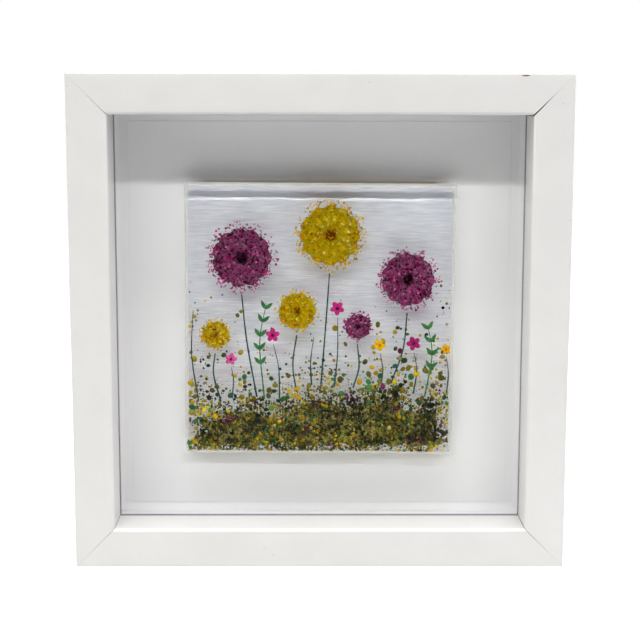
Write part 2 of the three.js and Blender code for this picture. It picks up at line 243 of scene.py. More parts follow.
# a mottle is given as its coarse scale, its fine scale and its darkest shade, specks as their scale,
# size and share, and fibres as their scale and stretch
def makeFoil():
    look = {
        "white": "d7d6d4",
        "mottle": (55.0, 1300.0, 0.955),
        "dirt": "8d8a84",
        "specks": (210.0, 0.07, 0.06),
        "dirtStrength": 0.5,
        "roughness": (0.37, 0.48),
        "coat": 0.7,
        "coatRoughness": 0.24,
    }
    material, tree, spot = newMaterial("white foil")
    mottle = mottleOn(tree, spot, *look["mottle"])
    dirt = product(tree, specksOn(tree, spot, *look["specks"]), look["dirtStrength"])
    paint = tinted(tree, colour(look["white"]), mottle["Shade"])
    finishSurface(
        tree,
        {
            "Base Color": mixColour(tree, dirt, paint, colour(look["dirt"])),
            "Roughness": remap(tree, mottle["Height"], 0.3, 0.7, *look["roughness"]),
            "Coat Weight": look["coat"],
            "Coat Roughness": look["coatRoughness"],
            "Normal": bump(tree, mottle["Height"], 0.25, 0.05 * mm),
        },
    )
    return material


def makeRawBoard():
    look = {"light": "a58a6c", "dark": "6a5238", "fibres": (900.0, (1.0, 1.0, 0.3)), "roughness": 0.9}
    material, tree, spot = newMaterial("raw fibreboard")
    fibres = fibresOn(tree, spot, *look["fibres"])
    finishSurface(
        tree,
        {
            "Base Color": mixColour(tree, fibres["Shade"], colour(look["dark"]), colour(look["light"])),
            "Roughness": look["roughness"],
            "Normal": bump(tree, fibres["Height"], 0.6, 0.2 * mm),
        },
    )
    return material


def paintShadeOverPanel(tree, spot, paper, shade):  # painted shade: a soft brownish darkening on the card just over the panel's top edge, standing in for the shadow there
    axes = splitAxes(tree, spot)
    above = calc(tree, "SUBTRACT", axes["Z"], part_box("fused_glass_panel")[1].z)
    fade = remap(tree, above, shade["from"], shade["to"], 1.0, 0.0)
    ends = remap(tree, calc(tree, "ABSOLUTE", axes["X"]), *shade["ends"], shade["depth"], 0.0)
    amount = product(tree, fade, fade, ends, calc(tree, "GREATER_THAN", above, shade["foot"]))
    return mixColour(tree, amount, paper, tinted(tree, paper, colour(shade["tint"])))


def makeWhiteSheet(name, look):  # faint cloud, fine tooth, a few specks
    material, tree, spot = newMaterial(name)
    mottle = mottleOn(tree, spot, *look["mottle"])
    dirt = product(tree, specksOn(tree, spot, 120.0, 0.035, 0.08), 0.35)
    paper = tinted(tree, colour(look["white"]), mottle["Shade"])
    # the card alone gets the painted shade over the panel's top edge
    if "paintedShadeOverPanel" in look:
        paper = paintShadeOverPanel(tree, spot, paper, look["paintedShadeOverPanel"])
    finishSurface(
        tree,
        {
            "Base Color": mixColour(tree, dirt, paper, colour("9a968e")),
            "Roughness": look["roughness"],
            "Normal": bump(tree, mottle["Height"], 0.3, 0.04 * mm),
        },
    )
    return material


def makeHardboard():  # brown and fibrous behind, painted white on its front
    look = {
        "light": "94704c",
        "dark": "6a4a30",
        "fibres": (950.0, (1.0, 1.0, 0.5)),
        "mottle": (14.0, 900.0, 0.85),
        "white": "ecebee",
        "paintDepth": 0.1 * mm,
        "roughness": 0.7,
    }
    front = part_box("backing_board")[0].y
    material, tree, spot = newMaterial("hardboard")
    fibres = fibresOn(tree, spot, *look["fibres"])
    mottle = mottleOn(tree, spot, *look["mottle"])
    brown = mixColour(tree, fibres["Shade"], colour(look["dark"]), colour(look["light"]))
    brown = tinted(tree, brown, mottle["Shade"])
    painted = calc(tree, "LESS_THAN", splitAxes(tree, spot)["Y"], front + look["paintDepth"])
    finishSurface(
        tree,
        {
            "Base Color": mixColour(tree, painted, brown, colour(look["white"])),
            "Roughness": look["roughness"],
            "Normal": bump(tree, fibres["Height"], 0.35, 0.15 * mm),
        },
    )
    return material


def makeZinc():
    look = {
        "light": "c9cbcc",
        "dark": "9a9d9f",
        "mottle": (260.0, 2400.0, 0.0),
        "rust": "7d5a3c",
        "specks": (420.0, 0.16, 0.12),
        "rustStrength": 0.5,
        "roughness": (0.28, 0.46),
    }
    material, tree, spot = newMaterial("zinc steel")
    mottle = mottleOn(tree, spot, *look["mottle"])
    rusty = product(tree, specksOn(tree, spot, *look["specks"]), look["rustStrength"])
    metal = mixColour(tree, mottle["Shade"], colour(look["dark"]), colour(look["light"]))
    finishSurface(
        tree,
        {
            "Base Color": mixColour(tree, rusty, metal, colour(look["rust"])),
            "Metallic": 1.0,
            "Roughness": remap(tree, mottle["Shade"], 0.0, 1.0, *look["roughness"]),
            "Normal": bump(tree, mottle["Height"], 0.2, 0.03 * mm),
        },
    )
    return material


def makeFoam():
    look = {"pore": "f1f1ee", "skin": "dcdcd6", "poreScale": 2600.0, "roughness": 0.95}
    material, tree, spot = newMaterial("white foam")
    cells = addNode(tree, "ShaderNodeTexVoronoi", {"Vector": spot, "Scale": look["poreScale"]})
    depth = cells.outputs["Distance"]
    finishSurface(
        tree,
        {
            "Base Color": mixColour(tree, depth, colour(look["pore"]), colour(look["skin"])),
            "Roughness": look["roughness"],
            "Normal": bump(tree, depth, 0.7, 0.15 * mm),
        },
    )
    return material


# Glass: lamp light passes through it, and colours what it falls on

def mixShaders(tree, share, first, second):
    return addNode(tree, "ShaderNodeMixShader", {0: share, 1: first, 2: second}).outputs[0]


def finishGlass(tree, inputs, passing, paintedGlow=None):  # the last argument, if given, is a share of white diffuse used as a painted highlight, and its colour
    inputs = {"Transmission Weight": 1.0, "IOR": 1.5, **inputs}
    shader = addNode(tree, "ShaderNodeBsdfPrincipled", inputs).outputs[0]
    if paintedGlow:
        glowDiffuse = addNode(tree, "ShaderNodeBsdfDiffuse", {"Color": paintedGlow[1]}).outputs[0]
        shader = mixShaders(tree, paintedGlow[0], shader, glowDiffuse)
    through = addNode(tree, "ShaderNodeBsdfTransparent", {"Color": passing}).outputs[0]
    ray = addNode(tree, "ShaderNodeLightPath").outputs
    lit = calc(tree, "MAXIMUM", ray["Is Shadow Ray"], ray["Is Diffuse Ray"])
    addNode(tree, "ShaderNodeOutputMaterial", {"Surface": mixShaders(tree, lit, shader, through)})


def makePaneGlass():
    look = {
        "clean": "fdfffe",
        "dust": "d9dbd8",
        "specks": (90.0, 0.02, 0.2),
        "window": 104.35 * mm,
        "soft": 0.3 * mm,
        "gapGrimeAndShade": "9c9b9a",
        "passing": (0.985, 0.99, 0.99, 1.0),
    }
    material, tree, spot = newMaterial("cover glass")
    low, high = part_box("cover_glass")
    dust = specksOn(tree, spot, *look["specks"])
    clear = mixColour(tree, dust, colour(look["clean"]), colour(look["dust"]))
    # a thin dark line all round where the glass meets the lip: grime there, and painted shade of the gap
    # between glass and lip
    axes = splitAxes(tree, spot)
    rise = calc(tree, "ABSOLUTE", calc(tree, "SUBTRACT", axes["Z"], (low.z + high.z) / 2))
    reach = calc(tree, "MAXIMUM", calc(tree, "ABSOLUTE", axes["X"]), rise)
    gapGrimeAndShade = remap(tree, reach, look["window"], look["window"] + look["soft"], 0.0, 1.0)
    clear = mixColour(tree, gapGrimeAndShade, clear, colour(look["gapGrimeAndShade"]))
    finishGlass(tree, {"Base Color": clear, "Roughness": 0.0}, look["passing"])
    return material


def makePanelGlass():
    look = {
        "rim": 1.6 * mm,
        "soft": 0.3 * mm,
        "sideShadow": 0.6,
        "topReach": 2.5 * mm,
        "topDepth": 0.8 * mm,
        "caustic": 0.4 * mm,
        "causticLight": 3.4,
        "stretch": (0.07, 0.3, 1.1),
        "waveScale": 1250.0,
        "streaks": (0.87, 1.14),
        "tints": ("dee4f0", "fdfeff"),
        "haze": {"from": 12 * mm, "to": 80 * mm, "share": 0.4, "tint": "f6eedd"},
        "powder": {"scale": 42.0, "share": 0.5, "tint": "f8eaf2"},
        "paintedGlowRim": (0.8 * mm, 2.2 * mm),
        "glowDiffuse": 0.45,
        "paintedGlow": "faf6e8",
    }
    low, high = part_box("fused_glass_panel")
    material, tree, spot = newMaterial("fused clear glass")
    axes = splitAxes(tree, spot)
    # light that enters by the top edge never leaves by the back, which leaves a dark band on the card
    # with a bright line below it, and the polished sides throw some light aside too
    onTop = calc(tree, "GREATER_THAN", axes["Z"], high.z - look["topReach"])
    deep = calc(tree, "SUBTRACT", axes["Y"], low.y)
    inBand = product(tree, onTop, calc(tree, "GREATER_THAN", deep, look["topDepth"]))
    nearBand = calc(tree, "COMPARE", deep, look["topDepth"] - look["caustic"] / 2, look["caustic"] / 2)
    bright = product(tree, nearBand, onTop, look["causticLight"] - 1)
    top = calc(tree, "ADD", bright, calc(tree, "SUBTRACT", 1.0, inBand))
    inner = high.x - look["rim"]
    aside = calc(tree, "ABSOLUTE", axes["X"])
    side = remap(tree, aside, inner - look["soft"], inner, 1.0, look["sideShadow"])
    waves = noiseAt(tree, vectorMath(tree, "MULTIPLY", spot, look["stretch"]), look["waveScale"], 2.0)[0]
    passing = product(tree, top, side, remap(tree, waves, 0.36, 0.64, *look["streaks"]))
    tint = remap(tree, waves, 0.36, 0.64, 0.0, 1.0)
    clear = mixColour(tree, tint, *map(colour, look["tints"]))
    # a trace of fine yellow and pink powder clouds the glass round the flowers
    haze = look["haze"]
    height = calc(tree, "SUBTRACT", axes["Z"], low.z)
    share = remap(tree, height, haze["from"], haze["to"], haze["share"], 0.0)
    clear = mixColour(tree, share, clear, tinted(tree, clear, colour(haze["tint"])))
    powder = look["powder"]
    share = remap(tree, noiseAt(tree, spot, powder["scale"], 4.0)[0], 0.54, 0.68, 0.0, powder["share"])
    clear = mixColour(tree, share, clear, tinted(tree, clear, colour(powder["tint"])))
    # painted highlight: the rim turns partly milky white, standing in for the light its polished edges catch
    rim = remap(tree, attribute(tree, "edge"), *look["paintedGlowRim"], look["glowDiffuse"], 0.0)
    surface = {"Base Color": clear, "Roughness": 0.01, "Normal": bump(tree, waves, 0.5, 0.3 * mm)}
    finishGlass(tree, surface, passing, (rim, colour(look["paintedGlow"])))
    return material


def paletteRamp(tree, value, palette):  # each colour takes an equal share of the values from 0 to 1
    ramp = addNode(tree, "ShaderNodeValToRGB", {0: value})
    ramp.color_ramp.interpolation = "CONSTANT"
    stops = ramp.color_ramp.elements
    while len(stops) < len(palette):
        stops.new(0.5)
    for number, hexText in enumerate(palette):
        stops[number].position = number / len(palette)
        stops[number].color = colour(hexText)
    return ramp.outputs[0]


def makeFrit(name, look):  # "pick" is a grain's own, and "tone", "heart" and "rim" say where it lies
    material, tree, spot = newMaterial(name)
    pick = attribute(tree, "pick")
    base = paletteRamp(tree, pick, look["palette"])
    for mark in ("heart", "rim"):
        base = mixColour(tree, attribute(tree, mark), base, paletteRamp(tree, pick, look[mark]))
    # tone darkens grains at random, and in the flower heads it also carries painted shade between and under
    # petals
    base = tinted(tree, base, remap(tree, attribute(tree, "tone"), 0.0, 1.0, look["deep"], 1.0))
    cloud = noiseAt(tree, spot, 1800.0, 2.0)[0]
    base = tinted(tree, base, remap(tree, cloud, 0.3, 0.7, 0.8, 1.0))
    surface = {
        "Base Color": base,
        "Roughness": 0.1,
        "Specular IOR Level": 0.14,
        "Transmission Weight": look["clear"],
        "Normal": bump(tree, cloud, 0.15, 0.1 * mm),
    }
    finishGlass(tree, surface, mixColour(tree, look["shadow"], base, (1.0, 1.0, 1.0, 1.0)))
    return material


def makeThreadGlass(name, dark, light, clear=0.2, passing=(0.35, 0.42, 0.4, 1.0)):
    material, tree, spot = newMaterial(name)
    cloud = noiseAt(tree, spot, 420.0, 3.0)[0]
    lighter = remap(tree, cloud, 0.35, 0.65, 0.0, 1.0)
    surface = {
        "Base Color": mixColour(tree, lighter, colour(dark), colour(light)),
        "Roughness": 0.1,
        "Transmission Weight": clear,
        "Normal": bump(tree, cloud, 0.1, 0.1 * mm),
    }
    finishGlass(tree, surface, passing)
    return material


foil = makeFoil()
rawBoard = makeRawBoard()
cardLook = {
    "white": "f9f7f8",
    "mottle": (22.0, 2200.0, 0.98),
    "roughness": 0.8,
    # painted shade on the card just over the panel's top edge
    "paintedShadeOverPanel": {
        "foot": -2.0 * mm,
        "from": -0.5 * mm,
        "to": 4.5 * mm,
        "ends": (60.0 * mm, 70.0 * mm),
        "depth": 1.0,
        "tint": "988a78",
    },
    "step": 0.3 * mm,
    "slope": 0.1 * mm,
}
# the liner is greyer than the card: painted shade for the spacers deep in the box
linerLook = {"white": "d9d8db", "mottle": (22.0, 2200.0, 0.97), "roughness": 0.7}
whiteCard = makeWhiteSheet("white card", cardLook)
shadeGreyLiner = makeWhiteSheet("liner greyed for shade", linerLook)
hardboard = makeHardboard()
zinc = makeZinc()
foam = makeFoam()
paneGlass = makePaneGlass()
panelGlass = makePanelGlass()
yellowFrit = makeFrit(
    "yellow grains",
    {
        "palette": [
            "ffca00", "f4a600", "ffe610", "d88800", "ffbe00", "ffd600", "c47400", "fff078", "fcb200",
        ],
        "heart": ["c87800", "945400", "e4a000", "744000"],
        "rim": ["ffd810", "ffc400", "ffee50", "f8b400"],
        "deep": 0.4,
        "clear": 0.06,
        "shadow": 0.25,
    },
)
magentaFrit = makeFrit(
    "magenta grains",
    {
        "palette": ["d8308c", "7c0446", "fa90cc", "520028", "c01a74", "400020", "f064ae", "901050"],
        "heart": ["4a0e2e", "28081c", "6a1444", "1a0610"],
        "rim": ["ea6cb2", "d44496", "faa4d2", "bc2c7e"],
        "deep": 0.2,
        "clear": 0.15,
        "shadow": 0.35,
    },
)
mixedFrit = makeFrit(
    "mixed grains",
    {
        "palette": [
            "7c7a1c", "b8920a", "568044", "1a3c24", "4c3e14", "e4bc06", "246048", "a09828",
            "6c6410", "283e12", "d0a40a", "0c2420", "585012", "447838", "9a8638", "ccc070",
        ],
        "heart": ["7a1c54", "3c4c20", "a83c7c", "2a2a10", "64143e", "1c1a12"],
        "rim": ["f4cc00", "e0b000", "5e9a54", "ffe010", "b49a14", "3c8650", "ecc400", "8e862a"],
        "deep": 0.03,
        "clear": 0.04,
        "shadow": 0.5,
    },
)
tealGlass = makeThreadGlass("teal thread glass", "173c3c", "2c5c58")
leafGlass = makeThreadGlass("green thread glass", "2c6a3c", "4f8c4a")
filmGlass = makeThreadGlass("olive film glass", "605c20", "d8cc80", 0.7, (0.75, 0.75, 0.55, 1.0))
print("materials made:", len(bpy.data.materials))


# Making and finishing pieces

def meshFrom(name, points, faces, edges=()):
    mesh = bpy.data.meshes.new(name)
    mesh.from_pydata([tuple(p) for p in points], list(edges), faces)
    mesh.validate()
    return mesh


def setAttribute(mesh, name, values):
    mesh.attributes.new(name, "FLOAT", "POINT").data.foreach_set("value", values)


def makeObject(name, mesh, *materials):
    piece = bpy.data.objects.new(name, mesh)
    bpy.context.scene.collection.objects.link(piece)
    for material in materials:
        mesh.materials.append(material)
    return piece


def closeSeams(mesh):
    edit = bmesh.new()
    edit.from_mesh(mesh)
    bmesh.ops.remove_doubles(edit, verts=edit.verts, dist=0.004 * mm)
    bmesh.ops.dissolve_degenerate(edit, edges=edit.edges, dist=0.002 * mm)
    bmesh.ops.recalc_face_normals(edit, faces=edit.faces)
    edit.to_mesh(mesh)
    edit.free()
    for polygon in mesh.polygons:
        polygon.use_smooth = True


def slabMesh(name, wide, tall, points, marks):  # a grid of front points, then the same grid of back points
    size = wide * tall
    faces = []
    for i in range(wide - 1):
        for j in range(tall - 1):
            a = i * tall + j
            faces.append((a, a + tall, a + tall + 1, a + 1))
            faces.append((a + size, a + size + 1, a + size + tall + 1, a + size + tall))
    rim = [i * tall for i in range(wide)]
    rim += [(wide - 1) * tall + j for j in range(1, tall)]
    rim += [i * tall + tall - 1 for i in range(wide - 2, -1, -1)]
    rim += list(range(tall - 2, 0, -1))
    for a, b in zip(rim, rim[1:] + rim[:1]):
        faces.append((a, a + size, b + size, b))
    mesh = meshFrom(name, points, faces)
    for mark, values in marks.items():
        setAttribute(mesh, mark, values)
    closeSeams(mesh)
    return mesh


def smoothByAngle(mesh, degrees):
    for polygon in mesh.polygons:
        polygon.use_smooth = True
    mesh.set_sharp_from_angle(angle=math.radians(degrees))


def applyModifiers(piece):
    graph = bpy.context.evaluated_depsgraph_get()
    shaped = piece.evaluated_get(graph)
    mesh = bpy.data.meshes.new_from_object(shaped, preserve_all_data_layers=True, depsgraph=graph)
    piece.modifiers.clear()
    old = piece.data
    piece.data = mesh
    bpy.data.meshes.remove(old)


def runNodes(piece, tree, values):
    modifier = piece.modifiers.new("nodes", "NODES")
    modifier.node_group = tree
    for item in tree.interface.items_tree:
        if item.item_type == "SOCKET" and item.in_out == "INPUT" and item.name in values:
            modifier[item.identifier] = values[item.name]
    applyModifiers(piece)


def place(piece, slotName, *stoodFor):
    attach(piece, "root")
    if stoodFor:
        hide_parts(*stoodFor)


def dress(name, material):  # a CAD node whose shape is right keeps its mesh
    node = cadNodes[name]
    node.data.materials.clear()
    node.data.materials.append(material)


# The four rails, with their mitres and a chip

railLook = {
    "half": 125.0 * mm,
    "width": 20.0 * mm,
    "depth": 60.0 * mm,
    "lipDepth": 25.0 * mm,
    "rebate": 8.0 * mm,
    "outerRound": 0.2 * mm,
    "innerRound": 1.8 * mm,
    "foilTurn": 7.0 * mm,
    "faceLines": (4.0 * mm, 8.0 * mm, 11.0 * mm, 14.0 * mm, 16.0 * mm),
    "arcSteps": 8,
    "stations": 24,
}
# each mitre's gap at its outer and inner end, and the share of the rail's width where it begins to open
mitreGaps = {
    ("bottom", "left"): (0.03 * mm, 0.18 * mm, 0.0),
    ("left", "top"): (0.02 * mm, 0.22 * mm, 0.35),
    ("top", "right"): (0.02 * mm, 0.8 * mm, 0.5),
    ("right", "bottom"): (0.03 * mm, 0.28 * mm, 0.4),
}
chip = {
    "at": (100.6 * mm, -30.06 * mm, 249.2 * mm),
    "size": (2.0 * mm, 0.24 * mm, 0.42 * mm),
    "ragged": 0.35,
    "raggedScale": 2.3,
}


def railSection():  # points (inwards, depth) round the moulding, each with its next stretch's finish
    look = railLook
    points = [((0.0, look["depth"]), 0)]

    def arc(centreIn, centreDeep, radius, start):
        for step in range(look["arcSteps"] + 1):
            angle = start + math.pi / 2 * step / look["arcSteps"]
            inwards = centreIn + radius * math.cos(angle)
            points.append(((inwards, centreDeep + radius * math.sin(angle)), 0))

    arc(look["outerRound"], look["outerRound"], look["outerRound"], math.pi)
    points.extend(((inwards, 0.0), 0) for inwards in look["faceLines"])
    arc(look["width"] - look["innerRound"], look["innerRound"], look["innerRound"], 1.5 * math.pi)
    points.append(((look["width"], look["lipDepth"]), 1))
    points.append(((look["width"] - look["rebate"], look["lipDepth"]), 1))
    points.append(((look["width"] - look["rebate"], look["depth"]), 1))
    points.append(((look["foilTurn"], look["depth"]), 0))
    return points


def mitreOpening(gap, inwards):
    outer, inner, begin = gap
    share = max(0.0, inwards / railLook["width"] - begin) / (1 - begin)
    return outer + (inner - outer) * share


def makeRail(side, turn, startGap, endGap):
    look = railLook
    section = railSection()
    count = len(section)
    points = []
    faces = []
    finishes = []
    for station in range(look["stations"] + 1):
        share = 2 * station / look["stations"] - 1
        gap = startGap if share < 0 else endGap
        for (inwards, deep), _ in section:
            reach = look["half"] - inwards - mitreOpening(gap, inwards) / math.sqrt(2)
            points.append((share * reach, deep - look["depth"] / 2, inwards - look["half"]))
    for station in range(look["stations"]):
        for i in range(count):
            a = station * count + i
            b = station * count + (i + 1) % count
            faces.append((a, b, b + count, a + count))
            finishes.append(section[i][1])
    faces.append(tuple(reversed(range(count))))
    faces.append(tuple(range(look["stations"] * count, (look["stations"] + 1) * count)))
    finishes += [1, 1]
    mesh = meshFrom("rail_" + side, points, faces)
    for polygon, finish in zip(mesh.polygons, finishes):
        polygon.material_index = finish
    turned = Matrix.Translation((0, 0, look["half"])) @ Matrix.Rotation(turn * math.pi / 2, 4, "Y")
    mesh.transform(turned)
    rail = makeObject("rail_" + side, mesh, foil, rawBoard)
    edit = bmesh.new()
    edit.from_mesh(mesh)
    bmesh.ops.recalc_face_normals(edit, faces=edit.faces)
    edit.to_mesh(mesh)
    edit.free()
    smoothByAngle(mesh, 40)
    return rail


def cutChip(rail):  # a ragged hollow that bares the board under the foil
    edit = bmesh.new()
    bmesh.ops.create_icosphere(edit, subdivisions=4, radius=1.0)
    for vertex in edit.verts:
        vertex.co *= 1 + chip["ragged"] * noise.noise(vertex.co * chip["raggedScale"])
        vertex.co = Vector([a * b for a, b in zip(vertex.co, chip["size"])]) + Vector(chip["at"])
    mesh = bpy.data.meshes.new("chip")
    edit.to_mesh(mesh)
    edit.free()
    cutter = makeObject("chip", mesh, rawBoard)
    cut = rail.modifiers.new("chip", "BOOLEAN")
    cut.operation = "DIFFERENCE"
    cut.object = cutter
    cut.solver = "EXACT"
    cut.material_mode = "TRANSFER"
    applyModifiers(rail)
    bpy.data.objects.remove(cutter)


def makeRails():
    sides = ["bottom", "left", "top", "right"]
    for turn, side in enumerate(sides):
        # a rail starts at its mitre with the next one, and ends at its mitre with the one before
        startGap = mitreGaps[side, sides[(turn + 1) % 4]]
        endGap = mitreGaps[sides[turn - 1], side]
        rail = makeRail(side, turn, startGap, endGap)
        if side == "top":
            cutChip(rail)
        place(rail, "white_foil", "frame_rail_" + side)


makeRails()
print("rails made")


# Trees of geometry nodes, whose results all lie on the panel's face

faceGap = 0.02 * mm  # the least that anything stands off the panel's face


def geoNode(tree, kind, inputs=None, **settings):  # gives the node's first output
    return addNode(tree, "GeometryNode" + kind, inputs, **settings).outputs[0]


def namedValue(tree, name):
    inputs = {"Name": name}
    return addNode(tree, "GeometryNodeInputNamedAttribute", inputs, data_type="FLOAT").outputs["Attribute"]


def randomValue(tree, low, high, seed):
    inputs = {2: low, 3: high, "Seed": seed}
    return addNode(tree, "FunctionNodeRandomValue", inputs, data_type="FLOAT").outputs[1]


def store(tree, geometry, name, value):
    inputs = {"Geometry": geometry, "Name": name, "Value": value}
    return geoNode(tree, "StoreNamedAttribute", inputs, data_type="FLOAT", domain="POINT")


def joinParts(tree, *parts):
    joined = addNode(tree, "GeometryNodeJoinGeometry")
    for part in parts:
        tree.links.new(part, joined.inputs[0])
    return joined.outputs[0]


def landOnFace(tree, geometry):  # whatever reaches behind the panel's face is pressed flat on it
    axes = splitAxes(tree, geoNode(tree, "InputPosition"))
    flat = calc(tree, "MINIMUM", axes["Y"], -faceGap)
    landed = joinAxes(tree, axes["X"], flat, axes["Z"])
    return geoNode(tree, "SetPosition", {"Geometry": geometry, "Position": landed})


grainLook = {
    "sizeBias": 1.6,
    "narrowest": 0.7,
    "tilt": 0.35,
    "spin": 6.283,
    "lumpScale": 1100.0,
}


def buildGrains():  # strews lumps of glass over a bed, flat where they lie on the panel's face
    look = grainLook
    tree, given, result = newTree(
        "strewn grains",
        "GeometryNodeTree",
        [
            ("Geometry", "NodeSocketGeometry", None),
            ("Spacing", "NodeSocketFloat", 0.001),
            ("Density", "NodeSocketFloat", 2e6),
            ("Smallest", "NodeSocketFloat", 0.0005),
            ("Largest", "NodeSocketFloat", 0.0009),
            ("Flatness", "NodeSocketFloat", 0.7),
            ("Lumps", "NodeSocketFloat", 0.0003),
            ("Facets", "NodeSocketInt", 9),
            ("Seed", "NodeSocketInt", 1),
            ("Bed Painted Shade", "NodeSocketFloat", 0.2),
            ("Tone Spread", "NodeSocketFloat", 0.5),
            ("Material", "NodeSocketMaterial", None),
        ],
        [("Geometry", "NodeSocketGeometry")],
    )

    def chance(low, high, step):  # each use of chance takes its own step from the seed
        return randomValue(tree, low, high, calc(tree, "ADD", given["Seed"], step))

    points = geoNode(
        tree,
        "DistributePointsOnFaces",
        {
            "Mesh": given["Geometry"],
            "Distance Min": given["Spacing"],
            "Density Max": given["Density"],
            "Density Factor": namedValue(tree, "cover"),
            "Seed": given["Seed"],
        },
        distribute_method="POISSON",
    )
    points = store(tree, points, "pick", chance(0.0, 0.999, 3))
    dimmed = calc(tree, "SUBTRACT", 1.0, product(tree, chance(0.0, 1.0, 23), given["Tone Spread"]))
    points = store(tree, points, "tone", product(tree, namedValue(tree, "tone"), dimmed))
    size = calc(tree, "POWER", chance(0.0, 1.0, 5), look["sizeBias"])
    size = remap(tree, size, 0.0, 1.0, given["Smallest"], given["Largest"])
    across = product(tree, size, chance(look["narrowest"], 1.0, 7))
    scale = joinAxes(tree, size, product(tree, size, given["Flatness"]), across)
    tilt = chance(-look["tilt"], look["tilt"], 11)
    spin = chance(0.0, look["spin"], 13)
    roll = chance(-look["tilt"], look["tilt"], 17)
    turn = joinAxes(tree, tilt, spin, roll)
    rings = calc(tree, "CEIL", product(tree, given["Facets"], 0.5))
    ball = geoNode(tree, "MeshUVSphere", {"Radius": 1.0, "Segments": given["Facets"], "Rings": rings})
    lump = geoNode(tree, "Transform", {"Geometry": ball, "Rotation": (math.pi / 2, 0, 0)})
    strewn = {"Points": points, "Instance": lump, "Rotation": turn, "Scale": scale}
    grains = geoNode(tree, "InstanceOnPoints", strewn)
    grains = geoNode(tree, "RealizeInstances", {"Geometry": grains})
    rough = noiseAt(tree, geoNode(tree, "InputPosition"), look["lumpScale"], 1.0)["Color"]
    shift = {0: vectorMath(tree, "ADD", rough, (-0.5, -0.5, -0.5)), "Scale": given["Lumps"]}
    shift = addNode(tree, "ShaderNodeVectorMath", shift, operation="SCALE").outputs[0]
    grains = geoNode(tree, "SetPosition", {"Geometry": grains, "Offset": shift})
    grains = geoNode(tree, "SetShadeSmooth", {"Geometry": grains})
    loose = calc(tree, "LESS_THAN", namedValue(tree, "base"), 0.5)
    bed = {"Geometry": given["Geometry"], "Selection": loose}
    bed = geoNode(tree, "DeleteGeometry", bed, domain="POINT")
    # painted shade: the bed under the grains is darkened so the gaps between them look shaded
    bed = store(tree, bed, "tone", product(tree, namedValue(tree, "tone"), given["Bed Painted Shade"]))
    landed = landOnFace(tree, joinParts(tree, bed, grains))
    dressed = geoNode(tree, "SetMaterial", {"Geometry": landed, "Material": given["Material"]})
    tree.links.new(dressed, result["Geometry"])
    return tree


def buildThread():  # a drawn glass thread along a path, a little uneven, with its own radius at each end
    tree, given, result = newTree(
        "drawn thread",
        "GeometryNodeTree",
        [
            ("Geometry", "NodeSocketGeometry", None),
            ("Start Radius", "NodeSocketFloat", 0.0003),
            ("End Radius", "NodeSocketFloat", 0.00045),
            ("Unevenness", "NodeSocketFloat", 0.15),
            ("Step", "NodeSocketFloat", 0.001),
            ("Material", "NodeSocketMaterial", None),
        ],
        [("Geometry", "NodeSocketGeometry")],
    )
    path = geoNode(tree, "MeshToCurve", {"Mesh": given["Geometry"]})
    path = geoNode(tree, "ResampleCurve", {"Curve": path, "Length": given["Step"]}, mode="LENGTH")
    along = geoNode(tree, "SplineParameter")
    even = remap(tree, along, 0.0, 1.0, given["Start Radius"], given["End Radius"])
    wobble = noiseAt(tree, geoNode(tree, "InputPosition"), 260.0, 2.0)[0]
    thinner = calc(tree, "SUBTRACT", 1.0, given["Unevenness"])
    thicker = calc(tree, "ADD", 1.0, given["Unevenness"])
    thickness = product(tree, even, remap(tree, wobble, 0.3, 0.7, thinner, thicker))
    ring = geoNode(tree, "CurvePrimitiveCircle", {"Resolution": 12, "Radius": 1.0})
    tube = {"Curve": path, "Profile Curve": ring, "Scale": thickness, "Fill Caps": True}
    tube = geoNode(tree, "CurveToMesh", tube)
    tube = geoNode(tree, "SetShadeSmooth", {"Geometry": tube})
    tube = geoNode(tree, "RealizeInstances", {"Geometry": tube})
    tube = geoNode(tree, "SetMaterial", {"Geometry": tube, "Material": given["Material"]})
    tree.links.new(tube, result["Geometry"])
    return tree


# shares of the flower's radius, and of its height for the middle drop's height
dropLook = {
    "petalOut": 0.56,
    "petalLength": 0.46,
    "petalWidth": 0.36,
    "middle": 0.27,
    "middleHeight": 1.15,
}


